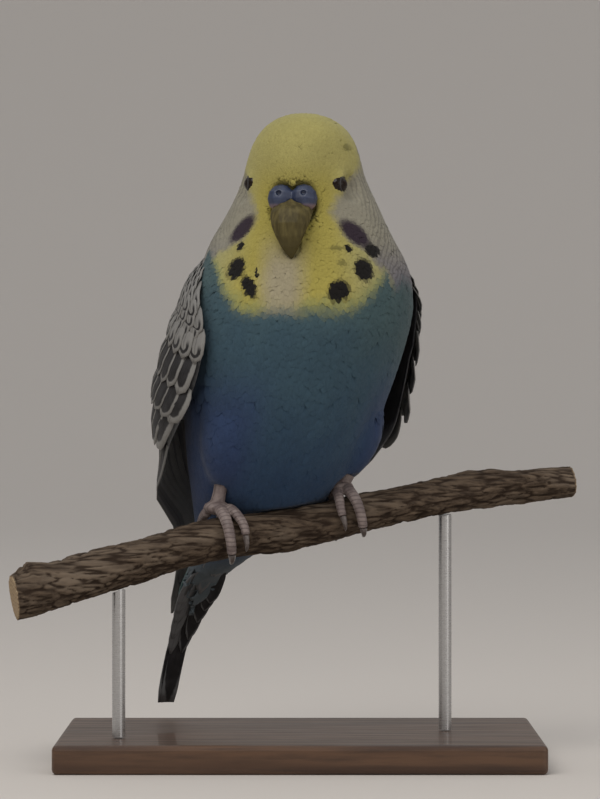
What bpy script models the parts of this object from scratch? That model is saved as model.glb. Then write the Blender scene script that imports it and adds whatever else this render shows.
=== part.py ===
"""A still, life-size budgerigar gripping a cut length of branch, on a plain display stand.

Run it with: blender --background --python part.py
Sizes are in millimetres up to make_mesh(), which writes metres. +X is to the right of someone who
faces the bird, +Y leads away behind it, +Z is up, and the origin is under the middle of the base.
Levels along the bird's trunk are heights above the branch's axis at the bird.
"""

import math
import random
from collections import namedtuple

import bmesh
import bpy
import numpy as np
from mathutils import Matrix, Vector

# Driving dimensions
MM = 0.001
GAP = 0.3
PERCH_HEIGHT = 58.0
PERCH_SETBACK = -8.0
BIRD_SIDE = -3.5
BODY_YAW = math.radians(25)
HEAD_YAW = math.radians(-10)

BASE_SIZE = (118.0, 78.0, 7.0)
BASE_EDGE = 1.2
ROD_RADIUS = 1.6
# How far a rod reaches into the branch, past its lowest line.
ROD_BITE = 1.6
ROD_SIDES_ROUND = 24
ROD_SIDES = (-44.0, 36.0)

PERCH_YAW = math.radians(14)
PERCH_ROUTE = ((-69, -16.6), (-45, -9.6), (-22, -3.2), (0, -0.3), (22, 4.8), (45, 8.6), (68, 10.4))
PERCH_RADII = (5.7, 5.15, 4.25)
PERCH_NUBS = ((-64.0, 2.2, 2.4), (45.5, 1.5, 3.0))
PERCH_SIDES = 14
PERCH_RINGS = 28
FOOT_SIDES = {"right": -19.2, "left": 11.9}

CROWN_LEVEL = 101.2
NECK_CUT = 74.0
SHOULDER_CUT = 61.5
RUMP_CUT = 1.0
TAIL_BASE_END = -15.0
RING_POINTS = 26
FACET_SAG = 0.65

# The trunk from the tail's root to the crown. Each station has its level, how far its middle lies
# before the branch and to the bird's left, how far its plane tips forward in degrees, the half
# width, the reach to the front and to the back, and how much the front narrows.
TRUNK = (
    (-47.6, -54.5, -8.8, 18, 2.0, 0.8, 0.8, 0.0),
    (-40.0, -52.0, -8.4, 25, 2.6, 1.0, 1.0, 0.0),
    (-30.0, -47.0, -8.0, 36, 4.0, 1.6, 1.6, 0.0),
    (-15.0, -35.5, -7.0, 40, 4.8, 2.8, 3.0, 0.0),
    (-6.0, -27.5, -4.4, 40, 7.8, 6.0, 6.8, 0.0),
    (3.0, -20.0, -1.2, 36, 14.6, 11.5, 12.0, 0.0),
    (13.0, -12.5, 0.0, 31, 20.2, 17.6, 16.6, 0.0),
    (25.0, -5.5, 0.0, 27, 24.0, 21.4, 20.0, 0.0),
    (36.0, -1.0, 0.3, 24, 26.4, 23.4, 21.4, 0.0),
    (47.0, 3.2, 1.1, 22, 27.8, 24.2, 21.8, 0.0),
    (56.0, 6.8, 1.7, 21, 27.6, 24.0, 21.2, 0.0),
    (63.0, 8.6, 1.4, 21, 25.8, 21.8, 19.4, 0.0),
    (70.0, 9.4, 0.0, 21, 22.4, 18.8, 17.4, 0.12),
    (77.0, 9.8, 0.0, 20, 18.9, 17.2, 16.4, 0.3),
    (84.0, 9.9, 0.0, 18, 15.6, 16.6, 15.6, 0.45),
    (90.0, 10.1, 0.0, 13, 14.0, 15.8, 14.6, 0.32),
    (94.4, 10.3, 0.0, 8, 12.3, 14.0, 13.0, 0.16),
    (97.6, 10.4, 0.0, 4, 9.8, 11.2, 10.4, 0.04),
    (99.6, 10.5, 0.0, 1, 6.9, 7.8, 7.4, 0.0),
    (100.7, 10.5, 0.0, 0, 3.9, 4.3, 4.1, 0.0),
    (101.2, 10.5, 0.0, 0, 0.0, 0.0, 0.0, 0.0),
)

# The sheet that the folded wings lie on: level, half width and reach to the back.
WING_SHEET = (
    (-34.0, 3.8, 4.0),
    (-30.0, 4.0, 4.3),
    (-15.0, 5.6, 6.4),
    (-6.0, 12.8, 11.2),
    (3.0, 22.8, 17.4),
    (14.0, 26.6, 21.0),
    (25.0, 29.6, 23.2),
    (36.0, 29.8, 23.8),
    (47.0, 29.2, 23.6),
    (57.0, 27.8, 22.2),
    (66.0, 23.6, 18.8),
)

# Where the front edge of the folded wing lies, in degrees round from the breast, by level.
WING_FRONT = (
    (-34.0, 162.0),
    (-20.0, 156.0),
    (-8.0, 142.0),
    (3.0, 114.0),
    (14.0, 92.0),
    (26.0, 75.0),
    (35.0, 68.0),
    (44.0, 67.0),
    (51.0, 72.0),
    (57.0, 82.0),
    (64.0, 96.0),
)
WING_BACK = 172.0

# Head furniture, in the head's own frame: sideways, forward and level.
EYE_RADIUS = 2.5
EYE_LEVEL = 85.4
EYE_ANGLE = {"left": 60.0, "right": 66.0}
# How far an eye looks sideways and ahead.
EYE_LOOKS = (0.985, 0.17)
EYE_SUNK = 1.8
LID_RADIUS = 0.55
CERE_LOBE = ((2.75, 14.3, 79.3), (3.4, 2.7, 3.5))
NOSTRIL_PLACE = (3.0, 17.4, 80.6)
NOSTRIL_RADIUS = 0.62
# The upper bill's middle line: forward, level, half width and half thickness.
UPPER_BILL = (
    (12.0, 77.6, 5.0, 3.2),
    (15.6, 76.0, 5.2, 3.2),
    (17.8, 73.0, 4.6, 2.9),
    (18.1, 69.8, 3.3, 2.3),
    (17.1, 67.0, 1.8, 1.4),
    (15.8, 65.0, 0.4, 0.4),
)
LOWER_BILL = (
    (10.8, 71.0, 3.6, 2.2),
    (13.1, 69.4, 3.2, 1.9),
    (14.5, 67.6, 2.2, 1.2),
    (15.0, 66.2, 0.8, 0.5),
)

# Legs and feet. Thigh stations: share of the way from hip to ankle, half width, half depth.
HIP = (13.8, 7.0, 34.0)
ANKLE_RISE = {"right": 13.4, "left": 10.4}
THIGH = ((0.0, 6.4, 6.6), (0.3, 9.0, 8.9), (0.62, 8.2, 7.7), (0.86, 5.4, 5.2), (1.0, 2.6, 2.6))
SHANK_RADIUS = 1.6
TOE_STEPS = 7
CLAW_STEPS = 6
# A claw's thickness at its root, as a share of its toe's.
CLAW_SHARE = 0.62
# Bark is smooth this near to a foot, and rough again this much further on.
SMOOTH_BARK = (6.0, 5.0)
PAD_SIZE = (3.3, 3.0, 1.8)
# Toes: name, the angle about the branch where the toe ends and where its claw ends (0 is on top,
# positive to the front), how far it strays along the branch, and its radius.
TOES = {
    "right": (
        ("1", -62, -100, -3.6, 1.3),
        ("2", 88, 128, 4.4, 1.4),
        ("3", 122, 160, 0.6, 1.6),
        ("4", -108, -146, 2.4, 1.5),
    ),
    "left": (
        ("1", -62, -100, 3.4, 1.3),
        ("2", 84, 122, -2.8, 1.35),
        ("3", 118, 152, 1.4, 1.55),
        ("4", -108, -146, -3.2, 1.5),
    ),
}

# The folded wing's tiers. Each is a band of the wing, between two levels, that carries a row of
# vanes. face is how far the band's outer face stands off the sheet at its lower and upper edge,
# shares and tips belong to the first and the last vane, and off and tilt are how far a vane's
# middle stands off the sheet and how far its front edge is raised, at its root and at its tip.
Tier = namedtuple("Tier", "part band face count shares lean root tips off tilt half stations")
WING_TIERS = (
    Tier(
        "shoulder", (48.3, 60.0), (2.0, 1.5), 7, (0.08, 0.92), 0.0,
        52.0, (43.2, 42.2), (1.2, 2.45), (0.2, 0.26), 4.2, 4,
    ),
    Tier(
        "coverts", (37.3, 48.0), (2.0, 0.9), 7, (0.08, 0.92), 0.0,
        41.0, (28.4, 27.0), (1.2, 3.05), (0.2, 0.26), 4.6, 5,
    ),
    Tier(
        "secondaries", (26.3, 37.0), (2.0, 0.9), 6, (0.1, 0.91), 0.0,
        30.5, (18.6, 12.5), (1.15, 2.05), (0.2, 0.3), 4.6, 4,
    ),
    Tier(
        "primaries", (16.0, 26.0), (1.4, 0.9), 6, (0.12, 0.9), 0.0,
        20.5, (-27.0, 5.0), (0.6, 0.95), (0.2, 0.5), 3.3, 6,
    ),
)
BAND_ROWS = 4
BAND_COLUMNS = 7
WING_LIMIT = 177.0
VANE_THICK = 0.5
# A vane's width along its length, as a share of its full width.
VANE_OUTLINE = ((0.0, 0.6), (0.2, 0.9), (0.5, 1.0), (0.75, 0.93), (0.92, 0.62), (1.0, 0.16))
# The middle tail feathers stay broad to a blunt, worn end.
BLUNT_OUTLINE = ((0.0, 0.75), (0.3, 0.95), (0.7, 1.0), (0.92, 0.97), (1.0, 0.8))
# How far the vanes differ from one another.
VARY_SHARE = 0.008
VARY_TIP = 0.6
VARY_WIDTH = 0.05

# The tail: six pairs of feathers from the middle pair outward. Tip levels, half widths, and how
# far each lies off the middle line at its root and at its tip.
TAIL_ROOT = -16.6
TAIL_TIPS = (-47.4, -34.0, -30.0, -26.0, -22.5, -20.0)
TAIL_HALF = (2.25, 2.0, 2.0, 2.0, 1.9, 1.8)
TAIL_OFFSETS = ((0.5, 0.45), (1.3, 1.5), (1.9, 2.2), (2.5, 2.9), (3.0, 3.5), (3.4, 4.0))
TAIL_TOP = 0.75
TAIL_STEP = 0.3
TAIL_DROOP = 0.5
TAIL_BLOCK = (5.2, 2.0)
TAIL_BLOCK_SIDES = 14
TAIL_BLOCK_END = -18.6
# The coverts above and below the tail's root.
COVERT_ROOT = -12.5
COVERT_TIP = -23.5
COVERT_SHARES = (-1.0, -0.5, 0.0, 0.5, 1.0)
COVERT_HALF = 1.7
COVERT_REACH = 3.9
COVERT_RISE = (2.1, 3.3)
COVERT_STEP = 0.6
COVERT_GATHER = 0.8
COVERT_DROOP = 0.5


def remove_everything():
    for thing in list(bpy.data.objects):
        bpy.data.objects.remove(thing, do_unlink=True)


remove_everything()
model = bpy.data.collections.new("perched_budgerigar")
cutters = bpy.data.collections.new("cutters")
bpy.context.scene.collection.children.link(model)
bpy.context.scene.collection.children.link(cutters)


def finish_of(name, colour, roughness, metallic=0.0):
    """A plain Principled material."""
    made = bpy.data.materials.new(name)
    made.use_nodes = True
    shader = made.node_tree.nodes["Principled BSDF"]
    shader.inputs["Base Color"].default_value = (*colour, 1.0)
    shader.inputs["Roughness"].default_value = roughness
    shader.inputs["Metallic"].default_value = metallic
    return made


FINISHES = {
    "head_plumage": finish_of("head_plumage", (0.75, 0.70, 0.28), 0.8),
    "body_plumage": finish_of("body_plumage", (0.16, 0.33, 0.52), 0.8),
    "wing_plumage": finish_of("wing_plumage", (0.42, 0.42, 0.40), 0.7),
    "tail_plumage": finish_of("tail_plumage", (0.06, 0.06, 0.09), 0.6),
    "cere_skin": finish_of("cere_skin", (0.10, 0.18, 0.45), 0.45),
    "bill_horn": finish_of("bill_horn", (0.38, 0.34, 0.12), 0.35),
    "eye_gloss": finish_of("eye_gloss", (0.01, 0.01, 0.01), 0.05),
    "foot_skin": finish_of("foot_skin", (0.48, 0.40, 0.40), 0.6),
    "claw_horn": finish_of("claw_horn", (0.16, 0.13, 0.12), 0.4),
    "bark": finish_of("bark", (0.20, 0.14, 0.09), 0.9),
    "stand_wood": finish_of("stand_wood", (0.12, 0.06, 0.03), 0.4),
    "stand_steel": finish_of("stand_steel", (0.55, 0.55, 0.56), 0.3, 1.0),
}


def add_object(name, mesh, finish, collection=model):
    thing = bpy.data.objects.new(name, mesh)
    thing.data.materials.append(FINISHES[finish])
    collection.objects.link(thing)
    return thing


def make_mesh(name, points, faces):
    """A mesh from points in millimetres, its faces turned outward."""
    mesh = bpy.data.meshes.new(name)
    mesh.from_pydata([tuple(c * MM for c in p) for p in points], [], faces)
    shape = bmesh.new()
    shape.from_mesh(mesh)
    bmesh.ops.recalc_face_normals(shape, faces=shape.faces)
    shape.to_mesh(mesh)
    shape.free()
    return mesh


def shade_round(thing, angle=50):
    thing.data.shade_smooth()
    thing.data.set_sharp_from_angle(angle=math.radians(angle))
    return thing


def read_table(table, level):
    """The row of a table at a level, on a smooth curve through the rows."""
    rows = np.array(table, float)
    x = rows[:, 0]
    level = min(max(level, x[0]), x[-1])
    i = int(min(max(np.searchsorted(x, level) - 1, 0), len(x) - 2))
    step = x[i + 1] - x[i]
    t = (level - x[i]) / step

    def slope(k):
        if k == 0 or k == len(x) - 1:
            low, high = (0, 1) if k == 0 else (k - 1, k)
            return (rows[high] - rows[low]) / (x[high] - x[low])
        return (rows[k + 1] - rows[k - 1]) / (x[k + 1] - x[k - 1])

    start, end = slope(i) * step, slope(i + 1) * step
    a = 2 * t**3 - 3 * t**2 + 1
    b = t**3 - 2 * t**2 + t
    c = -2 * t**3 + 3 * t**2
    d = t**3 - t**2
    return a * rows[i] + b * start + c * rows[i + 1] + d * end


def heading(yaw):
    """Forward and leftward directions of something turned by yaw from facing -Y."""
    forward = Vector((math.sin(yaw), -math.cos(yaw), 0.0))
    leftward = Vector((math.cos(yaw), math.sin(yaw), 0.0))
    return forward, leftward


PERCH_POINT = Vector((BIRD_SIDE, PERCH_SETBACK, PERCH_HEIGHT))


def bird_point(left, forward, level):
    """A place in the body's frame."""
    ahead, leftward = heading(BODY_YAW)
    return PERCH_POINT + leftward * left + ahead * forward + Vector((0, 0, level))


def head_point(left, forward, level):
    """A place in the turned head's frame, measured from the head's upright axis."""
    axis = bird_point(0.0, read_table(TRUNK, 84.0)[1], 0.0)
    ahead, leftward = heading(HEAD_YAW)
    return axis + leftward * left + ahead * forward + Vector((0, 0, level))


def turn_at(level):
    """How far the trunk is turned at a level: the body's yaw below, the head's above."""
    share = min(max((level - 50.0) / 28.0, 0.0), 1.0)
    share = share * share * (3 - 2 * share)
    return BODY_YAW + (HEAD_YAW - BODY_YAW) * share


def ring_point(level, angle, half_width, front, back, pinch):
    """A place on the ring at a level: angle 0 is the breast, 90 degrees the bird's left side."""
    row = read_table(TRUNK, level)
    middle = bird_point(row[2], row[1], row[0])
    ahead, leftward = heading(turn_at(level))
    tilt = math.radians(row[3])
    turn = math.radians(angle)
    reach = (front if math.cos(turn) > 0 else back) * math.cos(turn)
    side = half_width * math.sin(turn) * (1 - pinch * max(math.cos(turn), 0.0) ** 2)
    outward = ahead * math.cos(tilt) - Vector((0, 0, math.sin(tilt)))
    return middle + leftward * side + outward * reach


def trunk_point(level, angle, out=0.0):
    row = read_table(TRUNK, level)
    return ring_point(level, angle, row[4] + out, row[5] + out, row[6] + out, row[7])


def wing_point(level, angle, out=0.0):
    """A place on the sheet that the wings lie on, out millimetres outside it."""
    row = read_table(WING_SHEET, level)
    return ring_point(level, angle, row[1] + out, row[2] + out, row[2] + out, 0.0)


def ring(level, out=0.0, count=RING_POINTS):
    return [trunk_point(level, 360.0 * k / count, out) for k in range(count)]


def loft(rings):
    """Points and triangles of a closed skin through rings of as many points each.
    A ring of one point closes an end to a tip; any other end gets a flat cap."""
    points = []
    starts = []
    faces = []
    for one in rings:
        starts.append(len(points))
        points.extend(one)
    for i in range(len(rings) - 1):
        a, b = rings[i], rings[i + 1]
        count = max(len(a), len(b))
        for k in range(count):
            n = (k + 1) % count
            if len(a) == 1:
                faces.append((starts[i], starts[i + 1] + k, starts[i + 1] + n))
            elif len(b) == 1:
                faces.append((starts[i] + k, starts[i] + n, starts[i + 1]))
            else:
                low, high = starts[i], starts[i + 1]
                faces.append((low + k, low + n, high + n))
                faces.append((low + k, high + n, high + k))
    for end in (0, len(rings) - 1):
        count = len(rings[end])
        if count > 1:
            middle = sum((Vector(p) for p in rings[end]), Vector()) / count
            points.append(middle)
            hub = len(points) - 1
            for k in range(count):
                n = (k + 1) % count
                faces.append((starts[end] + k, starts[end] + n, hub))
    return points, faces


def spaced(low, high, count):
    return [low + (high - low) * k / (count - 1) for k in range(count)]


def plate(grid_in, grid_out):
    """Points and triangles of a closed plate between two grids of the same size. Both faces are
    split alike, so that a thin plate never crosses itself."""
    rows, columns = len(grid_in), len(grid_in[0])
    points = [p for row in grid_in for p in row] + [p for row in grid_out for p in row]
    step = rows * columns
    faces = []
    for i in range(rows - 1):
        for j in range(columns - 1):
            a, b = i * columns + j, i * columns + j + 1
            c, d = a + columns, b + columns
            faces += [(a, b, d), (a, d, c)]
            faces += [(a + step, d + step, b + step), (a + step, c + step, d + step)]
    rim = [j for j in range(columns)]
    rim += [i * columns + columns - 1 for i in range(1, rows)]
    rim += [(rows - 1) * columns + j for j in range(columns - 2, -1, -1)]
    rim += [i * columns for i in range(rows - 2, 0, -1)]
    for k, a in enumerate(rim):
        b = rim[(k + 1) % len(rim)]
        faces += [(a, b, b + step), (a, b + step, a + step)]
    return points, faces


def tube_rings(middles, widths, depths, side_hint, count):
    """Rings about a line of middles, each square to the line. side_hint gives the width's side."""
    rings = []
    for i, middle in enumerate(middles):
        before = middles[max(i - 1, 0)]
        after = middles[min(i + 1, len(middles) - 1)]
        run = (after - before).normalized()
        side = (side_hint - run * side_hint.dot(run)).normalized()
        rise = run.cross(side)
        if widths[i] < 0.05:
            rings.append([middle])
            continue
        turns = [2 * math.pi * k / count for k in range(count)]
        rings.append(
            [
                middle + side * widths[i] * math.cos(t) + rise * depths[i] * math.sin(t)
                for t in turns
            ]
        )
    return rings


def smooth_line(table, count):
    """Rows read evenly along a table whose first column isn't a level."""
    numbered = [(k, *row) for k, row in enumerate(table)]
    return [read_table(numbered, t)[1:] for t in spaced(0, len(table) - 1, count)]


def keep_largest(thing):
    """Leaves only the largest closed surface of a mesh."""
    shape = bmesh.new()
    shape.from_mesh(thing.data)
    todo = set(shape.faces)
    bodies = []
    while todo:
        front = [todo.pop()]
        body = list(front)
        while front:
            face = front.pop()
            for edge in face.edges:
                for other in edge.link_faces:
                    if other in todo:
                        todo.remove(other)
                        front.append(other)
                        body.append(other)
        bodies.append(body)
    bodies.sort(key=lambda b: sum(f.calc_area() for f in b))
    for body in bodies[:-1]:
        bmesh.ops.delete(shape, geom=body, context="FACES")
    loose = [v for v in shape.verts if not v.link_faces]
    bmesh.ops.delete(shape, geom=loose, context="VERTS")
    shape.to_mesh(thing.data)
    shape.free()


def apply_boolean(thing, operation, cutter=None, group=None, solver="EXACT"):
    """Cuts thing by an object, or joins a collection of objects to it, for good."""
    change = thing.modifiers.new("change", "BOOLEAN")
    change.operation = operation
    change.solver = solver
    if group is None:
        change.object = cutter
    else:
        change.operand_type = "COLLECTION"
        change.collection = group
    context = bpy.context.evaluated_depsgraph_get()
    result = bpy.data.meshes.new_from_object(thing.evaluated_get(context))
    thing.modifiers.clear()
    thing.data = result
    keep_largest(thing)
    return thing


def cut_by(thing, shape):
    """Cuts thing by a closed shape, given as points and faces."""
    mesh = make_mesh("cutter", *shape)
    cutter = bpy.data.objects.new("cutter", mesh)
    cutters.objects.link(cutter)
    apply_boolean(thing, "DIFFERENCE", cutter)
    bpy.data.objects.remove(cutter, do_unlink=True)


def join_to(thing, shapes):
    """Joins closed shapes, given as points and faces, to thing in one union."""
    group = bpy.data.collections.new("to_join")
    bpy.context.scene.collection.children.link(group)
    for shape in shapes:
        piece = bpy.data.objects.new("piece", make_mesh("piece", *shape))
        group.objects.link(piece)
    apply_boolean(thing, "UNION", group=group)
    for piece in list(group.objects):
        bpy.data.objects.remove(piece, do_unlink=True)
    bpy.data.collections.remove(group)


# The branch
def perch_axis(side):
    """The branch's middle line and its directions: along, up and to the front."""

    def middle(x):
        level = read_table(PERCH_ROUTE, x)[1]
        return Vector((x, x * math.tan(PERCH_YAW) + PERCH_SETBACK, PERCH_HEIGHT + level))

    here = middle(side)
    along = (middle(side + 1.0) - middle(side - 1.0)).normalized()
    front = Vector((0, -1, 0))
    front = (front - along * front.dot(along)).normalized()
    up = front.cross(along)
    if up.z < 0:
        up = -up
    return here, along, up, front


def perch_radius(side):
    low, middle, high = PERCH_RADII
    if side < 0:
        return middle + (low - middle) * (side / PERCH_ROUTE[0][0])
    return middle + (high - middle) * (side / PERCH_ROUTE[-1][0])


def near_a_foot(side):
    """1 at a foot and 0 well away from both, so that toes lie on smooth bark."""
    reach = min(abs(side - foot) for foot in FOOT_SIDES.values())
    return min(max(1.0 - (reach - SMOOTH_BARK[0]) / SMOOTH_BARK[1], 0.0), 1.0)


def perch_shape(grow=0.0):
    rings = []
    count = PERCH_SIDES
    for side in spaced(PERCH_ROUTE[0][0], PERCH_ROUTE[-1][0], PERCH_RINGS):
        here, along, up, front = perch_axis(side)
        ring_here = []
        for k in range(count):
            turn = 2 * math.pi * k / count
            radius = perch_radius(side) + grow
            calm = 1.0 - near_a_foot(side)
            radius += calm * 0.28 * math.sin(3 * turn + side * 0.21)
            radius += calm * 0.22 * math.sin(2 * turn - side * 0.13 + 1.0)
            for place, height, spread in PERCH_NUBS:
                fall = ((side - place) / spread) ** 2 + (math.sin(turn / 2) / 0.35) ** 2
                radius += height * math.exp(-fall)
            direction = up * math.cos(turn) + front * math.sin(turn)
            ring_here.append(here + direction * radius)
        rings.append(ring_here)
    return loft(rings)


def make_perch():
    return shade_round(add_object("perch", make_mesh("perch", *perch_shape()), "bark"))


# The stand
def make_stand():
    width, depth, height = BASE_SIZE
    bpy.ops.mesh.primitive_cube_add(size=1.0, location=(0, 0, height / 2 * MM))
    base = bpy.context.object
    base.name = "stand_base"
    base.scale = (width * MM, depth * MM, height * MM)
    bpy.ops.object.transform_apply(location=False, rotation=False, scale=True)
    edge = base.modifiers.new("rounded_edge", "BEVEL")
    edge.width = BASE_EDGE * MM
    edge.segments = 3
    base.data.materials.append(FINISHES["stand_wood"])
    move_to_model(base)
    for name, side in zip(("stand_rod_right", "stand_rod_left"), ROD_SIDES):
        here = perch_axis(side)[0]
        foot = height + GAP
        top = here.z - perch_radius(side) + ROD_BITE
        bpy.ops.mesh.primitive_cylinder_add(
            vertices=ROD_SIDES_ROUND,
            radius=ROD_RADIUS * MM,
            depth=(top - foot) * MM,
            location=(here.x * MM, here.y * MM, (top + foot) / 2 * MM),
        )
        rod = bpy.context.object
        rod.name = name
        rod.data.materials.append(FINISHES["stand_steel"])
        move_to_model(rod)
        bpy.ops.object.transform_apply(location=True, rotation=True, scale=True)
        cut_by(rod, perch_shape(grow=GAP))
        shade_round(rod)


def move_to_model(thing):
    for home in list(thing.users_collection):
        home.objects.unlink(thing)
    model.objects.link(thing)


# Head, neck and torso
def trunk_piece(name, low, high, count, finish, crowd=1.0):
    """A length of the trunk. A crowd above 1 brings its rings closer together toward the top."""
    rings = []
    for share in spaced(0.0, 1.0, count):
        level = low + (high - low) * (1.0 - (1.0 - share) ** crowd)
        rings.append([trunk_point(level, 0)] if level > CROWN_LEVEL - 0.01 else ring(level))
    return add_object(name, make_mesh(name, *loft(rings)), finish)


def ball(middle, sizes, turn, rows=8, columns=14, grow=0.0):
    """Points and triangles of an ellipsoid whose axes are left, forward and up of a heading."""
    ahead, leftward = heading(turn)
    rings = []
    for i in range(rows + 1):
        tip = math.pi * i / rows
        if i in (0, rows):
            rings.append([middle + Vector((0, 0, (sizes[2] + grow) * math.cos(tip)))])
            continue
        around = []
        for k in range(columns):
            turn_here = 2 * math.pi * k / columns
            place = leftward * (sizes[0] + grow) * math.sin(tip) * math.cos(turn_here)
            place += ahead * (sizes[1] + grow) * math.sin(tip) * math.sin(turn_here)
            place += Vector((0, 0, (sizes[2] + grow) * math.cos(tip)))
            around.append(middle + place)
        rings.append(around)
    return loft(rings)


def ring_tube(middle, normal, radius, thickness, count=14, sides=5):
    """Points and triangles of a torus round an axis."""
    normal = normal.normalized()
    side = normal.orthogonal().normalized()
    rise = normal.cross(side)
    points = []
    faces = []
    for i in range(count):
        turn = 2 * math.pi * i / count
        out = side * math.cos(turn) + rise * math.sin(turn)
        for k in range(sides):
            roll = 2 * math.pi * k / sides
            points.append(
                middle + out * (radius + thickness * math.cos(roll)) + normal * thickness * math.sin(roll)
            )
    for i in range(count):
        n = (i + 1) % count
        for k in range(sides):
            m = (k + 1) % sides
            a, b, c, d = i * sides + k, n * sides + k, n * sides + m, i * sides + m
            faces += [(a, b, c), (a, c, d)]
    return points, faces


def eye_place(name):
    """The eyeball's middle and the way it looks out."""
    mirror = 1 if name == "left" else -1
    on_skin = trunk_point(EYE_LEVEL, mirror * EYE_ANGLE[name])
    ahead, leftward = heading(HEAD_YAW)
    looks = (leftward * mirror * EYE_LOOKS[0] + ahead * EYE_LOOKS[1]).normalized()
    return on_skin - looks * EYE_SUNK, looks


def bill_shape(table, grow=0.0):
    leftward = heading(HEAD_YAW)[1]
    rows = smooth_line(table, 8)
    middles = [head_point(0, row[0], row[1]) for row in rows]
    widths = [row[2] + grow for row in rows]
    depths = [row[3] + grow for row in rows]
    return loft(tube_rings(middles, widths, depths, leftward, 12))


def cere_shapes(grow=0.0):
    (side, forward, level), sizes = CERE_LOBE
    return [
        ball(head_point(s * side, forward, level), sizes, HEAD_YAW, 6, 12, grow) for s in (1, -1)
    ]


def make_head():
    head = trunk_piece("head", NECK_CUT + GAP / 2, CROWN_LEVEL, 13, "head_plumage", 1.6)
    neck = trunk_piece("neck", SHOULDER_CUT + GAP / 2, NECK_CUT - GAP / 2, 5, "head_plumage")
    lids = []
    for name in ("left", "right"):
        middle, looks = eye_place(name)
        lid_at = middle + looks * (EYE_SUNK + 0.1)
        lids.append(ring_tube(lid_at, looks, EYE_RADIUS * 0.88, LID_RADIUS))
    join_to(head, lids)
    for name in ("left", "right"):
        middle, looks = eye_place(name)
        sizes = (EYE_RADIUS,) * 3
        eye = add_object(
            f"eye_{name}", make_mesh("eye", *ball(middle, sizes, HEAD_YAW, 8, 12)), "eye_gloss"
        )
        shade_round(eye)
        cut_by(head, ball(middle, sizes, HEAD_YAW, 8, 12, grow=GAP))
    cere = None
    for shape in cere_shapes():
        if cere is None:
            cere = add_object("cere", make_mesh("cere", *shape), "cere_skin")
        else:
            join_to(cere, [shape])
    leftward = heading(HEAD_YAW)[1]
    for mirror in (1, -1):
        side, forward, level = NOSTRIL_PLACE
        far = head_point(mirror * side, forward + 1.5, level)
        near = head_point(mirror * side, forward - 1.6, level)
        sizes = [NOSTRIL_RADIUS] * 2
        cut_by(cere, loft(tube_rings([near, far], sizes, sizes, leftward, 10)))
    upper = add_object("bill_upper", make_mesh("bill_upper", *bill_shape(UPPER_BILL)), "bill_horn")
    for shape in cere_shapes(GAP):
        cut_by(upper, shape)
    lower = add_object("bill_lower", make_mesh("bill_lower", *bill_shape(LOWER_BILL)), "bill_horn")
    cut_by(lower, bill_shape(UPPER_BILL, GAP))
    for thing in (head, neck):
        for shape in cere_shapes(GAP):
            cut_by(thing, shape)
        cut_by(thing, bill_shape(UPPER_BILL, GAP))
        cut_by(thing, bill_shape(LOWER_BILL, GAP))
    for thing in (head, neck, cere, upper, lower):
        shade_round(thing)


def make_torso():
    torso = trunk_piece("torso", RUMP_CUT + GAP / 2, SHOULDER_CUT - GAP / 2, 13, "body_plumage")
    cut_by(torso, perch_shape(grow=GAP))
    for name in ("right", "left"):
        for shape in [thigh_shape(name, GAP), *foot_shapes(name, GAP)]:
            cut_by(torso, shape)
    shade_round(torso)


# Legs and feet
def foot_frame(name):
    side = FOOT_SIDES[name]
    here, along, up, front = perch_axis(side)
    return here, along, up, front, perch_radius(side)


def ankle_point(name):
    here, along, up, front, radius = foot_frame(name)
    return here + Vector((0, 0, ANKLE_RISE[name]))


def thigh_shape(name, grow=0.0):
    mirror = 1 if name == "left" else -1
    left, forward, level = HIP
    hip = bird_point(mirror * left, forward, level)
    ankle = ankle_point(name)
    rows = smooth_line(THIGH, 9)
    middles = [hip.lerp(ankle, row[0]) for row in rows]
    leftward = heading(BODY_YAW)[1]
    widths = [row[1] + grow for row in rows]
    depths = [row[2] + grow for row in rows]
    return loft(tube_rings(middles, widths, depths, leftward, TAIL_BLOCK_SIDES))


def pad_middle(name):
    here, along, up, front, radius = foot_frame(name)
    return here + up * (radius + GAP + PAD_SIZE[2] + 0.15)


def pad_shape(name, grow=0.0):
    return ball(pad_middle(name), PAD_SIZE, PERCH_YAW, 6, 12, grow)


def shank_shape(name, grow=0.0):
    """The bare leg from just under the feathered thigh down into the foot's pad."""
    ankle = ankle_point(name)
    pad = pad_middle(name)
    sizes = [SHANK_RADIUS * share + grow for share in (1.05, 1.0, 1.2)]
    along = perch_axis(FOOT_SIDES[name])[1]
    return loft(tube_rings([ankle, ankle.lerp(pad, 0.45), pad], sizes, sizes, along, 12))


def toe_path(name, start, end, stray, radius, count, claw=False):
    """Middles of a toe along its arc round the branch."""
    side = FOOT_SIDES[name]
    middles = []
    for k in range(count):
        share = k / (count - 1)
        angle = start + (end - start) * share
        place = side + stray * (0.4 + 0.6 * min(abs(angle) / 70.0, 1.0))
        here, along, up, front = perch_axis(place)
        reach = perch_radius(place) + GAP + radius + 0.1
        if claw:
            reach += 0.5 * math.sin(math.pi * share)
        turn = math.radians(angle)
        middles.append(here + (up * math.cos(turn) + front * math.sin(turn)) * reach)
    return middles


def toe_line(name, toe):
    label, toe_end, claw_end, stray, radius = toe
    start = 14 if toe_end > 0 else -14
    return toe_path(name, start, toe_end, stray, radius, TOE_STEPS)


def toe_shape(name, toe, grow=0.0):
    radius = toe[4]
    path = toe_line(name, toe)
    sizes = [radius * (1.0 - 0.28 * k / (TOE_STEPS - 1)) + grow for k in range(TOE_STEPS)]
    along = perch_axis(FOOT_SIDES[name])[1]
    return loft(tube_rings(path, sizes, sizes, along, 8))


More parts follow.
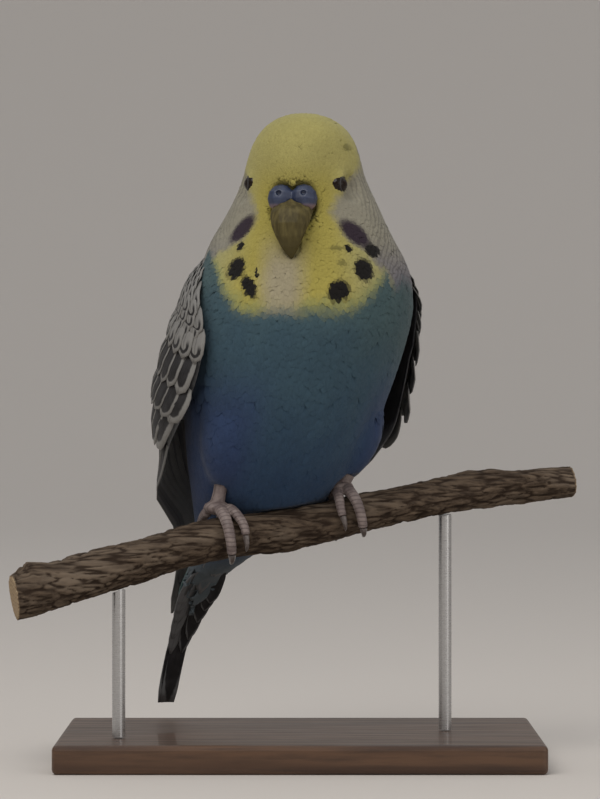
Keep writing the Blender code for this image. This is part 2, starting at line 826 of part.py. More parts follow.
def claw_shape(name, toe, grow=0.0):
    """The claw goes on from the toe's end face, and curls to a point."""
    toe_end, claw_end, stray, radius = toe[1:]
    path = toe_line(name, toe)
    slim = radius * CLAW_SHARE
    tip = toe_path(name, toe_end, claw_end, stray, slim, CLAW_STEPS, claw=True)
    onward = (path[-1] - path[-2]).normalized() * GAP
    shift = path[-1] + onward - tip[0]
    last = CLAW_STEPS - 1
    tip = [point + shift * (1 - k / last) for k, point in enumerate(tip)]
    thin = [slim * (1.0 - k / last) ** 0.7 + grow for k in range(CLAW_STEPS)]
    along = perch_axis(FOOT_SIDES[name])[1]
    return loft(tube_rings(tip, thin, thin, along, 6))


def foot_shapes(name, grow=0.0):
    """Every shape of a shank and its foot."""
    shapes = [shank_shape(name, grow), pad_shape(name, grow)]
    for toe in TOES[name]:
        shapes.append(toe_shape(name, toe, grow))
        shapes.append(claw_shape(name, toe, grow))
    return shapes


def make_leg(name):
    thigh = add_object(f"thigh_{name}", make_mesh("thigh", *thigh_shape(name)), "body_plumage")
    for shape in [perch_shape(grow=GAP), *foot_shapes(name, GAP)]:
        cut_by(thigh, shape)
    shade_round(thigh)
    tarsus = add_object(f"tarsus_{name}", make_mesh("tarsus", *pad_shape(name)), "foot_skin")
    join_to(tarsus, [shank_shape(name)])
    shade_round(tarsus)
    clear_of = [pad_shape(name, GAP), shank_shape(name, GAP)]
    for toe in TOES[name]:
        toe_name = f"toe_{name}_{toe[0]}"
        made = add_object(toe_name, make_mesh("toe", *toe_shape(name, toe)), "foot_skin")
        for shape in clear_of:
            cut_by(made, shape)
        clear_of.append(toe_shape(name, toe, GAP))
        shade_round(made)
        claw_name = f"claw_{name}_{toe[0]}"
        shade_round(add_object(claw_name, make_mesh("claw", *claw_shape(name, toe)), "claw_horn"))


# Wings and tail
def wing_angle(level, share):
    """The angle of a line on the folded wing: share 0 is its front edge, 1 its back."""
    front = read_table(WING_FRONT, level)[1]
    return front + (WING_BACK - front) * share


def band_shape(tier, mirror):
    """The band of a wing that carries one tier of vanes. It is thickest at its lower edge."""
    inside = []
    outside = []
    for level in spaced(*tier.band, BAND_ROWS):
        down = (tier.band[1] - level) / (tier.band[1] - tier.band[0])
        thick = tier.face[1] + (tier.face[0] - tier.face[1]) * min(down / 0.6, 1.0)
        angles = [mirror * wing_angle(level, share) for share in spaced(0.0, 1.0, BAND_COLUMNS)]
        if tier.part == "shoulder":
            inside.append([trunk_point(level, angle, GAP + FACET_SAG) for angle in angles])
        else:
            inside.append([wing_point(level, angle) for angle in angles])
        outside.append([wing_point(level, angle, thick) for angle in angles])
    return plate(inside, outside)


def across_the_sheet(level, angle, run, mirror):
    """The change of level and angle that leads 1 mm to the front, square to a vane's run."""
    by_level = wing_point(level + 0.5, mirror * angle) - wing_point(level - 0.5, mirror * angle)
    by_angle = wing_point(level, mirror * (angle + 0.5)) - wing_point(level, mirror * (angle - 0.5))
    across = by_level.cross(by_angle).cross(run).normalized()
    grid = np.array([by_level, by_angle]).T
    change = np.linalg.lstsq(grid, np.array(across), rcond=None)[0]
    return -change if change[1] > 0 else change


def vane_shape(tier, mirror, share, tip, half, lean):
    """One vane: it leaves its band, widens, rises over the next tier and tapers to a round tip."""
    inside = []
    outside = []
    spots = []
    for along in spaced(0.0, 1.0, tier.stations):
        level = tier.root + (tip - tier.root) * along
        spots.append((level, wing_angle(level, share + lean * along)))
    middles = [wing_point(level, mirror * angle) for level, angle in spots]
    for i, along in enumerate(spaced(0.0, 1.0, tier.stations)):
        level, angle = spots[i]
        run = middles[min(i + 1, len(middles) - 1)] - middles[max(i - 1, 0)]
        change = across_the_sheet(level, angle, run, mirror)
        wide = half * read_table(VANE_OUTLINE, along)[1]
        thick = VANE_THICK * (1.0 - 0.35 * along**3)
        off = tier.off[0] + (tier.off[1] - tier.off[0]) * min(along / 0.45, 1.0)
        tilt = tier.tilt[0] + (tier.tilt[1] - tier.tilt[0]) * along
        row_in = []
        row_out = []
        for side in (1.0, 0.0, -1.0):
            here = (level + change[0] * side * wide, angle + change[1] * side * wide)
            here = (here[0], mirror * min(here[1], WING_LIMIT))
            lift = off + tilt * side * wide / half
            row_in.append(wing_point(*here, lift))
            row_out.append(wing_point(*here, lift + thick))
        inside.append(row_in)
        outside.append(row_out)
    return plate(inside, outside)


def make_wing(name):
    mirror = 1 if name == "left" else -1
    draw = random.Random(name)
    for tier in WING_TIERS:
        vanes = []
        for k in range(tier.count):
            place = k / (tier.count - 1)
            share = tier.shares[0] + (tier.shares[1] - tier.shares[0]) * place
            share += draw.uniform(-VARY_SHARE, VARY_SHARE)
            tip = tier.tips[0] + (tier.tips[1] - tier.tips[0]) * place
            tip += draw.uniform(-VARY_TIP, VARY_TIP)
            half = tier.half * draw.uniform(1.0 - VARY_WIDTH, 1.0 + VARY_WIDTH)
            vanes.append(vane_shape(tier, mirror, share, tip, half, tier.lean))
        mesh = make_mesh("wing", *band_shape(tier, mirror))
        wing = add_object(f"wing_{name}_{tier.part}", mesh, "wing_plumage")
        join_to(wing, vanes)
        shade_round(wing, 35)


def tail_frame(level):
    """The tail's middle line at a level, and its directions: sideways and to its upper side."""
    row = read_table(TRUNK, level)
    ahead, leftward = heading(BODY_YAW)
    tilt = math.radians(row[3])
    upper = Vector((0, 0, math.sin(tilt))) - ahead * math.cos(tilt)
    return bird_point(row[2], row[1], row[0]), leftward, upper


def tail_vane(root, tip, stations, half, place, outline=VANE_OUTLINE):
    """A vane along the tail. place(level, along) gives its offsets sideways and upward, and
    how much its outer edge droops."""
    inside = []
    outside = []
    for along in spaced(0.0, 1.0, stations):
        level = root + (tip - root) * along
        here, side, upper = tail_frame(level)
        offset, rise, droop = place(along)
        wide = half * read_table(outline, along)[1]
        thick = VANE_THICK * (1.0 - 0.3 * along**3)
        row_in = []
        row_out = []
        for across in (-1.0, 0.0, 1.0):
            reach = offset + across * wide
            height = rise - droop * abs(reach) / 5.0
            spot = here + side * reach + upper * height
            row_in.append(spot)
            row_out.append(spot + upper * thick)
        inside.append(row_in)
        outside.append(row_out)
    return plate(inside, outside)


def tail_block():
    """The short block under the coverts in which the tail's feathers are rooted."""
    rings = []
    for level in spaced(TAIL_BASE_END - GAP, TAIL_BLOCK_END, 4):
        here, side, upper = tail_frame(level)
        down = (TAIL_BASE_END - level) / (TAIL_BASE_END - TAIL_BLOCK_END)
        half = TAIL_BLOCK[0] * (1.0 - 0.15 * down)
        thick = TAIL_BLOCK[1] * (1.0 - 0.3 * down)
        turns = [2 * math.pi * k / 14 for k in range(14)]
        rings.append([here + side * half * math.cos(t) + upper * thick * math.sin(t) for t in turns])
    return loft(rings)


def make_tail():
    base = trunk_piece("tail_base", TAIL_BASE_END, RUMP_CUT - GAP / 2, 7, "body_plumage")
    draw = random.Random("tail")
    coverts = []
    for face in (1, -1):
        for share in COVERT_SHARES:
            tip = COVERT_TIP + 3.5 * abs(share) + draw.uniform(-0.5, 0.5)

            def place(along):
                lift = COVERT_RISE[0] + (COVERT_RISE[1] - COVERT_RISE[0]) * min(along / 0.5, 1.0)
                lift -= COVERT_STEP * abs(share)
                spread = share * (COVERT_REACH - COVERT_GATHER * along)
                return spread, face * lift - VANE_THICK / 2, face * COVERT_DROOP

            coverts.append(tail_vane(COVERT_ROOT, tip, 4, COVERT_HALF, place))
    join_to(base, coverts)
    shade_round(base, 35)
    vanes = []
    for pair, tip in enumerate(TAIL_TIPS):
        for mirror in (1, -1):
            end = tip + draw.uniform(-VARY_TIP, VARY_TIP) * (pair > 0)

            def place(along):
                spread = TAIL_OFFSETS[pair][0] + (TAIL_OFFSETS[pair][1] - TAIL_OFFSETS[pair][0]) * along
                rise = TAIL_TOP - TAIL_STEP * (pair + (0.45 if mirror > 0 else 0.0))
                return mirror * spread, rise, TAIL_DROOP

            stations, outline = (8, BLUNT_OUTLINE) if pair == 0 else (5, VANE_OUTLINE)
            vanes.append(tail_vane(TAIL_ROOT, end, stations, TAIL_HALF[pair], place, outline))
    tail = add_object("tail_feathers", make_mesh("tail", *tail_block()), "tail_plumage")
    join_to(tail, vanes)
    shade_round(tail, 35)


make_stand()
make_perch()
make_head()
make_torso()
make_tail()
for side_name in ("right", "left"):
    make_leg(side_name)
    make_wing(side_name)
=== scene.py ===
# %% [markdown]
# # A perched budgerigar, dressed for the display case
#
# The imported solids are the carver's block: they say where the bird, the branch and the stand are.
# This lesson dresses them. Soft parts get one smooth skin with feathers laid over it, the wings and
# the tail get fine vanes, and the branch, bill, feet and stand get finishes of their own.
# Places on the bird are worked out in millimetres, as on the block. `MM` turns them into the
# metres that Blender's meshes and textures use.

# %% Load the carver's block
import math
import random

import bmesh
import bpy
import numpy as np
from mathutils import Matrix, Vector, noise
from mathutils.bvhtree import BVHTree


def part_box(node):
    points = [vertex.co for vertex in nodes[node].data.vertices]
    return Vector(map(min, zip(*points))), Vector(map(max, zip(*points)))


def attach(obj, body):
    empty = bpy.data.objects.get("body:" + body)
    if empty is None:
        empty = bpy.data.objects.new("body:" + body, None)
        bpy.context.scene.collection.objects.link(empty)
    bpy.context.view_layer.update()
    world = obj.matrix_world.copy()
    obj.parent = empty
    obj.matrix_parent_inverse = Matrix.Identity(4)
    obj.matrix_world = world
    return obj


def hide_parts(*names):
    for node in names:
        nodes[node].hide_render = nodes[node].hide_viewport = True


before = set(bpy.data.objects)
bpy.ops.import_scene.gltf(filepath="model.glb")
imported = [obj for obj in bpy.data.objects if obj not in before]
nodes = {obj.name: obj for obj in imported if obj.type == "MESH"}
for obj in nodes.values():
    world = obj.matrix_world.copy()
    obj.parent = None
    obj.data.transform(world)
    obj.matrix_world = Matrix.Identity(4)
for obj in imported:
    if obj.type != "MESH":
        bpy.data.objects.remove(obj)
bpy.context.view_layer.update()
MM = 0.001
SIDES = {"left": 1, "right": -1}
rng = np.random.default_rng(20)
print("nodes in the frame:", len(nodes))

# %% [markdown]
# ## The camera
#
# A long lens from about 0.9 m away keeps the sides of the branch nearly parallel, as the photo
# does. It looks level at the middle of the bird, so that no upright line leans.

# %% Camera
CAMERA_PLACE = (0.0, -0.908, 0.0892)
LENS_MM = 165.0
camera_data = bpy.data.cameras.new("camera")
camera = bpy.data.objects.new("camera", camera_data)
bpy.context.scene.collection.objects.link(camera)
camera.location = CAMERA_PLACE
camera.rotation_euler = (math.radians(90), 0, 0)
camera_data.lens = LENS_MM
camera_data.sensor_width = 36.0
camera_data.clip_start = 0.01
bpy.context.scene.camera = camera
print("camera at", CAMERA_PLACE)

# %% [markdown]
# ## Small helpers
#
# `add_piece` hangs a finished mesh on the model: it rides on the root body, and it may stand for
# nodes of the block. `Shader` keeps the node wiring of a material short to read.


# %% Helpers for pieces
def add_piece(name, mesh, finish, stands_for=()):
    """Hangs a mesh on the model, with its finish, in place of some nodes."""
    piece = bpy.data.objects.new(name, mesh)
    bpy.context.scene.collection.objects.link(piece)
    mesh.materials.clear()
    mesh.materials.append(finish)
    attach(piece, "root")
    if stands_for:
        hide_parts(*stands_for)
    print(name, "has", sum(len(p.vertices) - 2 for p in mesh.polygons), "triangles")
    return piece


def mesh_from(name, points, faces):
    """A mesh from arrays of points, in metres, and of faces."""
    mesh = bpy.data.meshes.new(name)
    mesh.from_pydata(np.asarray(points).tolist(), [], np.asarray(faces).tolist())
    mesh.update()
    mesh.shade_smooth()
    return mesh


def point_array(mesh, what):
    """The places ("co") or the normals ("normal") of a mesh's points, as one array."""
    values = np.empty(len(mesh.vertices) * 3)
    mesh.vertices.foreach_get(what, values)
    return values.reshape(-1, 3)


def move_points(mesh, places):
    """Puts a mesh's points at new places, given in millimetres."""
    mesh.vertices.foreach_set("co", (places * MM).ravel())
    mesh.update()


def joined_copy(name, names):
    """One mesh holding copies of some nodes' meshes."""
    shape = bmesh.new()
    for node in names:
        shape.from_mesh(nodes[node].data)
    mesh = bpy.data.meshes.new(name)
    shape.to_mesh(mesh)
    shape.free()
    return mesh


def refined(mesh, voxel_mm, smoothing, inflate_mm=0.0):
    """A finer, rounder copy of a mesh: voxel remesh, smooth, then move along the normals."""
    thing = bpy.data.objects.new("refining", mesh)
    bpy.context.scene.collection.objects.link(thing)
    remesh = thing.modifiers.new("remesh", "REMESH")
    remesh.mode = "VOXEL"
    remesh.voxel_size = voxel_mm * MM
    remesh.use_smooth_shade = True
    if smoothing:
        smooth = thing.modifiers.new("smooth", "SMOOTH")
        smooth.iterations = smoothing
        smooth.factor = 0.5
    if inflate_mm:
        inflate = thing.modifiers.new("inflate", "DISPLACE")
        inflate.strength = inflate_mm * MM
        inflate.mid_level = 0.0
    graph = bpy.context.evaluated_depsgraph_get()
    made = bpy.data.meshes.new_from_object(thing.evaluated_get(graph))
    bpy.data.objects.remove(thing, do_unlink=True)
    made.shade_smooth()
    return made


print("helpers for pieces are ready")

# %% [markdown]
# ## Helpers for finishes
#
# Every finish here is worked out from the place on the model or on the feather, with no picture
# files, so it stays sharp at any distance. A finish is a net of small nodes. These helpers let each
# node be written as one short line, with the result of one handed to the next.


# %% Helpers for materials
class Shader:
    """The nodes of one material or one node group, with short ways to add and join them."""

    def __init__(self, tree):
        self.tree = tree

    def add(self, kind, settings=(), **inputs):
        node = self.tree.nodes.new(kind)
        for key, value in dict(settings).items():
            setattr(node, key, value)
        for key, value in inputs.items():
            self.feed(node.inputs[key.replace("_", " ")], value)
        return node

    def feed(self, socket, value):
        if isinstance(value, bpy.types.NodeSocket):
            self.tree.links.new(value, socket)
        else:
            socket.default_value = value

    def place(self):
        """The place on the model, in metres."""
        return self.add("ShaderNodeTexCoord").outputs["Object"]

    def axes(self, vector):
        return self.add("ShaderNodeSeparateXYZ", Vector=vector).outputs

    def stretched(self, place, scale, turn=0.0):
        """A place with its axes scaled, so that grain runs along the axis with a small scale."""
        node = self.add("ShaderNodeMapping", Vector=place, Rotation=(0, 0, turn), Scale=scale)
        return node.outputs[0]

    def maths(self, operation, *values):
        node = self.tree.nodes.new("ShaderNodeMath")
        node.operation = operation
        for socket, value in zip(node.inputs, values):
            self.feed(socket, value)
        return node.outputs[0]

    def between(self, share, low, high):
        node = self.add("ShaderNodeMix", {"data_type": "FLOAT"}, Factor=share, A=low, B=high)
        return node.outputs[0]

    def blend(self, share, low, high, how="MIX"):
        node = self.tree.nodes.new("ShaderNodeMix")
        node.data_type = "RGBA"
        node.blend_type = how
        self.feed(node.inputs[0], share)
        self.feed(node.inputs[6], low)
        self.feed(node.inputs[7], high)
        return node.outputs[2]

    def ramp(self, value, low, high, to_low=0.0, to_high=1.0):
        node = self.tree.nodes.new("ShaderNodeMapRange")
        node.interpolation_type = "SMOOTHSTEP"
        for socket, given in zip(node.inputs, (value, low, high, to_low, to_high)):
            self.feed(socket, given)
        return node.outputs[0]

    def cloud(self, place, scale, detail=3.0, roughness=0.55):
        return self.add(
            "ShaderNodeTexNoise", Vector=place, Scale=scale, Detail=detail, Roughness=roughness
        ).outputs["Fac"]

    def group(self, tree, **inputs):
        node = self.tree.nodes.new("ShaderNodeGroup")
        node.node_tree = tree
        for key, value in inputs.items():
            self.feed(node.inputs[key.replace("_", " ")], value)
        return node


def new_group(name, inputs, outputs):
    """A node group with named sockets: inputs are (name, kind, default), outputs (name, kind)."""
    tree = bpy.data.node_groups.new(name, "ShaderNodeTree")
    for title, kind, default in inputs:
        socket = tree.interface.new_socket(title, in_out="INPUT", socket_type=f"NodeSocket{kind}")
        if default is not None:
            socket.default_value = default
    for title, kind in outputs:
        tree.interface.new_socket(title, in_out="OUTPUT", socket_type=f"NodeSocket{kind}")
    shader = Shader(tree)
    entry = tree.nodes.new("NodeGroupInput")
    leave = tree.nodes.new("NodeGroupOutput")
    return tree, shader, entry.outputs, leave.inputs


def new_material(name, **fixed):
    """A material with its Principled shader. fixed values are set on the shader's own sockets."""
    made = bpy.data.materials.new(name)
    made.use_nodes = True
    shader = Shader(made.node_tree)
    principled = made.node_tree.nodes["Principled BSDF"]
    for key, value in fixed.items():
        principled.inputs[key.replace("_", " ")].default_value = value
    return made, shader, principled.inputs


def bumped(shader, height, strength, distance_mm):
    node = shader.add(
        "ShaderNodeBump", Strength=strength, Distance=distance_mm * MM, Height=height
    )
    return node.outputs["Normal"]


print("helpers for finishes are ready")

# %% [markdown]
# ## The bird's own measures
#
# Every feather needs to know where it is on the bird. These tables repeat the block's own rings,
# so a level and an angle round the body give the same place here as in the block.

# %% Measures of the body, in millimetres
PERCH_HEIGHT, PERCH_SETBACK, BIRD_SIDE = 58.0, -8.0, -3.5
BODY_YAW, HEAD_YAW = math.radians(25), math.radians(-10)
# Level, forward, left, tip of the ring's plane in degrees.
TRUNK = (
    (-47.6, -54.5, -8.8, 18), (-40.0, -52.0, -8.4, 25), (-30.0, -47.0, -8.0, 36),
    (-15.0, -35.5, -7.0, 40), (-6.0, -27.5, -4.4, 40), (3.0, -20.0, -1.2, 36),
    (13.0, -12.5, 0.0, 31), (25.0, -5.5, 0.0, 27), (36.0, -1.0, 0.3, 24),
    (47.0, 3.2, 1.1, 22), (56.0, 6.8, 1.7, 21), (63.0, 8.6, 1.4, 21),
    (70.0, 9.4, 0.0, 21), (77.0, 9.8, 0.0, 20), (84.0, 9.9, 0.0, 18),
    (90.0, 10.1, 0.0, 13), (94.4, 10.3, 0.0, 8), (101.2, 10.5, 0.0, 0),
)
# The sheet that the folded wings lie on: level, half width, reach to the back.
WING_SHEET = (
    (-34.0, 3.8, 4.0), (-30.0, 4.0, 4.3), (-15.0, 5.6, 6.4), (-6.0, 12.8, 11.2),
    (3.0, 22.8, 17.4), (14.0, 26.6, 21.0), (25.0, 29.6, 23.2), (36.0, 29.8, 23.8),
    (47.0, 29.2, 23.6), (57.0, 27.8, 22.2), (66.0, 23.6, 18.8),
)
# The wing's front edge, in degrees round from the breast.
WING_FRONT = (
    (-34.0, 162.0), (-20.0, 156.0), (-8.0, 142.0), (3.0, 114.0), (14.0, 92.0), (26.0, 75.0),
    (35.0, 68.0), (44.0, 67.0), (51.0, 72.0), (57.0, 82.0), (64.0, 96.0),
)
WING_BACK, WING_LIMIT = 172.0, 177.0


def read_table(table, level):
    """The row of a table at a level, on a smooth curve through its rows."""
    rows = np.array(table, float)
    x = rows[:, 0]
    level = min(max(level, x[0]), x[-1])
    i = int(min(max(np.searchsorted(x, level) - 1, 0), len(x) - 2))
    step = x[i + 1] - x[i]
    t = (level - x[i]) / step
    low, high = max(i - 1, 0), min(i + 2, len(x) - 1)
    start = (rows[i + 1] - rows[low]) / (x[i + 1] - x[low]) * step
    end = (rows[high] - rows[i]) / (x[high] - x[i]) * step
    a, b = 2 * t**3 - 3 * t**2 + 1, t**3 - 2 * t**2 + t
    c, d = -2 * t**3 + 3 * t**2, t**3 - t**2
    return a * rows[i] + b * start + c * rows[i + 1] + d * end


def heading(yaw):
    forward = np.array((math.sin(yaw), -math.cos(yaw), 0.0))
    leftward = np.array((math.cos(yaw), math.sin(yaw), 0.0))
    return forward, leftward


PERCH_POINT = np.array((BIRD_SIDE, PERCH_SETBACK, PERCH_HEIGHT))


def bird_point(left, forward, level):
    ahead, leftward = heading(BODY_YAW)
    return PERCH_POINT + leftward * left + ahead * forward + np.array((0, 0, level))


HEAD_AXIS = bird_point(0.0, 9.9, 0.0)


def head_point(left, forward, level):
    ahead, leftward = heading(HEAD_YAW)
    return HEAD_AXIS + leftward * left + ahead * forward + np.array((0, 0, level))


def in_frame(points, yaw, origin):
    """World places, in millimetres, as left, forward and level of a turned frame."""
    ahead, leftward = heading(yaw)
    away = points - origin
    return np.stack((away @ leftward, away @ ahead, away[:, 2]), axis=1)


def in_head(points):
    return in_frame(points, HEAD_YAW, HEAD_AXIS)


def in_body(points):
    return in_frame(points, BODY_YAW, PERCH_POINT)


def wing_point(level, angle, out=0.0):
    """A place on the wings' sheet, out millimetres outside it, as in the block."""
    row, sheet = read_table(TRUNK, level), read_table(WING_SHEET, level)
    share = min(max((level - 50.0) / 28.0, 0.0), 1.0)
    turn_of = BODY_YAW + (HEAD_YAW - BODY_YAW) * share * share * (3 - 2 * share)
    ahead, leftward = heading(turn_of)
    tilt, turn = math.radians(row[3]), math.radians(angle)
    reach = (sheet[2] + out) * math.cos(turn)
    outward = ahead * math.cos(tilt) - np.array((0, 0, math.sin(tilt)))
    middle = bird_point(row[2], row[1], row[0])
    return middle + leftward * (sheet[1] + out) * math.sin(turn) + outward * reach


def wing_angle(level, share):
    front = read_table(WING_FRONT, level)[1]
    return front + (WING_BACK - front) * share


print("a place on the left wing:", np.round(wing_point(30, 90), 1))

# %% [markdown]
# ## One skin for all the flesh
#
# The block's head, neck, trunk and thighs meet at narrow gaps. A voxel remesh melts copies of
# them into one closed skin. It is drawn in by the depth of the coat, so that the feathers' outer
# faces come out where the block's faces were.

# %% Skin
COAT_DEPTH_MM = 1.0
SKIN_VOXEL_MM, SKIN_SMOOTHING = 0.9, 6
FLESH = ("head", "neck", "torso", "tail_base", "thigh_left", "thigh_right")
# The eyes fill their sockets while the skin is made, and the skin is pushed back there below.
melted = joined_copy("skin", FLESH + ("eye_left", "eye_right"))
skin_mesh = refined(melted, SKIN_VOXEL_MM, SKIN_SMOOTHING, -COAT_DEPTH_MM)
skin_points = point_array(skin_mesh, "co") / MM
print("the skin has", len(skin_points), "points")

# %% [markdown]
# ## Eye sockets
#
# A bird's eye sits in a shallow hollow of the head, and the feathers stop in a ring round it. The
# remesh left a bulge over each eye. Its points are pushed back along the eye's own line of sight,
# which needs no cutting and so leaves no rough edge.

# %% Eye sockets
EYE_RADIUS_MM, EYE_OPENING_MM, EYE_DEEPER_MM, EYE_LOOKS = 2.5, 1.85, 0.4, (0.985, 0.17)
SOCKET_REACH_MM, SOCKET_FLAT_MM, SOCKET_HEIGHT_MM, SOCKET_SLOPE = 5.0, 3.0, 0.9, 0.4
eyes, looks = {}, {}


def round_eye(points, side):
    """How far places lie out along an eye's line of sight, and how far off that line."""
    away = points - eyes[side]
    out = away @ looks[side]
    return out, np.linalg.norm(away - out[:, None] * looks[side], axis=1)


for side in SIDES:
    low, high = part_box(f"eye_{side}")
    eyes[side] = np.array((low + high) / 2) / MM
    ahead, leftward = heading(HEAD_YAW)
    looks[side] = leftward * SIDES[side] * EYE_LOOKS[0] + ahead * EYE_LOOKS[1]
    looks[side] /= np.linalg.norm(looks[side])
    # The block's lid ring is pushed in too, since the ring is made anew below.
    out, off = round_eye(skin_points, side)
    limit = SOCKET_HEIGHT_MM + SOCKET_SLOPE * np.clip(off - SOCKET_FLAT_MM, 0.0, None) ** 2
    over = np.maximum(out - limit, 0.0)
    sink = np.where((off < SOCKET_REACH_MM) & (out > 0), over, 0.0)
    skin_points -= sink[:, None] * looks[side]
print("eyes at", {side: np.round(eyes[side], 1) for side in SIDES})

# %% [markdown]
# ## Under the tail
#
# The tail's own feathers and coverts are made one by one further down. So that the skin doesn't show
# between them, its lower face is drawn up behind them, more so toward the tip.

# %% Under the tail
# The lowest that the skin may reach under the tail's middle line, at each level along it.
UNDER_LEVELS = (-30.0, -16.0, -13.0, -9.0, -6.0, -5.5)
UNDER_FLOOR = (0.5, 0.5, 1.6, 3.6, 6.0, 30.0)


def in_tail(points):
    """For places near the tail: their level along it, how far they lie above its middle line,
    and the tilt of its section there."""
    body = in_body(points)
    stations = np.linspace(-45, 10, 56)
    rows = np.array([read_table(TRUNK, v) for v in stations])
    level = body[:, 2].copy()
    # The section is tilted, so its level is found in a few rounds of correction.
    for _ in range(4):
        tilt = np.radians(np.interp(level, stations, rows[:, 3]))
        above = (np.interp(level, stations, rows[:, 1]) - body[:, 1]) / np.cos(tilt)
        level = body[:, 2] - above * np.sin(tilt)
    return level, above, tilt


tail_level, above, tilt = in_tail(skin_points)
floor_there = -np.interp(tail_level, UNDER_LEVELS, UNDER_FLOOR)
lifted = np.maximum(floor_there - above, 0.0) * (tail_level < UNDER_LEVELS[-1])
upright, forward = np.array((0, 0, 1.0)), heading(BODY_YAW)[0]
upward = np.sin(tilt)[:, None] * upright - np.cos(tilt)[:, None] * forward
skin_points += lifted[:, None] * upward
move_points(skin_mesh, skin_points)
skin_normals = point_array(skin_mesh, "normal")
print("points drawn up under the tail:", int((lifted > 0).sum()))

# %% [markdown]
# ## The markings
#
# A budgerigar's colours follow its body, so one function gives the colour of any place on it. It
# is written in the bird's own terms: how far from the cere, how high on the breast, how far round
# to the nape. Skin and feathers both ask it, so they always agree.

# %% Colours of the plumage
YELLOW, PALE_YELLOW, CREAM = (0.55, 0.47, 0.11), (0.52, 0.48, 0.20), (0.50, 0.44, 0.29)
SPOT, CHEEK = (0.010, 0.008, 0.007), (0.030, 0.015, 0.034)
OLIVE, RIM = (0.20, 0.18, 0.05), (0.38, 0.40, 0.15)
GREEN_BLUE, SKY, COBALT = (0.086, 0.145, 0.142), (0.064, 0.124, 0.172), (0.034, 0.076, 0.160)
FLANK, CROWN = (0.040, 0.068, 0.175), (0.54, 0.485, 0.17)
NAPE, MAUVE, VENT = (0.40, 0.375, 0.29), (0.24, 0.225, 0.25), (0.13, 0.16, 0.18)
# Painted shade: a near-black for under the tail on the bird's left.
UNDERTAIL_SHADE = (0.022, 0.021, 0.023)
# Painted shade: the bird lies in weaker light than the pale ground behind it, so all its colours are
# held down together.
PAINTED_SHADE = 0.62
CERE_MIDDLE = np.array((0.0, 15.5, 79.5))
# How far round from the bill the yellow mask reaches at each level, in degrees.
MASK_LEVELS = (50.0, 58.0, 63.0, 67.0, 70.5, 76.0, 80.5, 84.0, 88.0)
MASK_TURNS = (82.0, 80.0, 76.0, 64.0, 45.0, 38.0, 50.0, 66.0, 84.0)
# Marks of the face and throat. Head's left, level, half length, half width, slant in degrees.
BLACK_SPOTS = (
    (17.4, 67.4, 1.9, 1.5, -40), (15.9, 62.7, 2.9, 2.1, -70), (10.9, 57.6, 2.8, 2.5, 60),
    (12.4, 67.6, 1.1, 0.7, -55), (-12.4, 68.2, 1.3, 0.8, 60), (-13.2, 62.8, 3.0, 2.1, 65),
    (-9.7, 58.5, 3.1, 1.6, -62), (-8.0, 61.6, 1.7, 0.4, -80),
)
VIOLET_PATCHES = ((-12.3, 72.4, 4.3, 1.9, 45), (13.6, 71.2, 4.5, 2.0, -40))
OLIVE_MARKS = ((11.2, 64.2, 0.9, 0.7, 0), (9.8, 67.6, 1.5, 0.6, 0), (11.0, 91.6, 0.8, 0.9, 0))


def rise(value, low, high):
    share = np.clip((value - low) / (high - low), 0.0, 1.0)
    return share * share * (3 - 2 * share)


def mix(base, colour, share):
    return base + (np.asarray(colour) - base) * share[:, None]


def uneven(points, scale_mm):
    return np.array([noise.noise(Vector(p / scale_mm)) for p in points])


skin_tree = BVHTree.FromPolygons(
    [Vector(p) for p in skin_points], [tuple(f.vertices) for f in skin_mesh.polygons]
)


def patch(where, marks, soft=0.22):
    """1 inside the marks of a list and 0 outside, with a slightly soft edge."""
    inside = np.zeros(len(where))
    ahead = heading(HEAD_YAW)[0]
    for left, level, long, wide, slant in marks:
        spot = skin_tree.ray_cast(Vector(head_point(left, 60.0, level)), Vector(-ahead))[0]
        deep = in_head(np.array([spot]))[0, 1]
        turn = math.radians(slant)
        across, up_down = where[:, 0] - left, where[:, 2] - level
        along = (across * math.cos(turn) + up_down * math.sin(turn)) / long
        over = (up_down * math.cos(turn) - across * math.sin(turn)) / wide
        reach = np.sqrt(along**2 + over**2 + ((where[:, 1] - deep) / (2.2 + wide)) ** 2)
        inside = np.maximum(inside, 1.0 - rise(reach, 1.0 - soft, 1.0 + soft))
    return inside


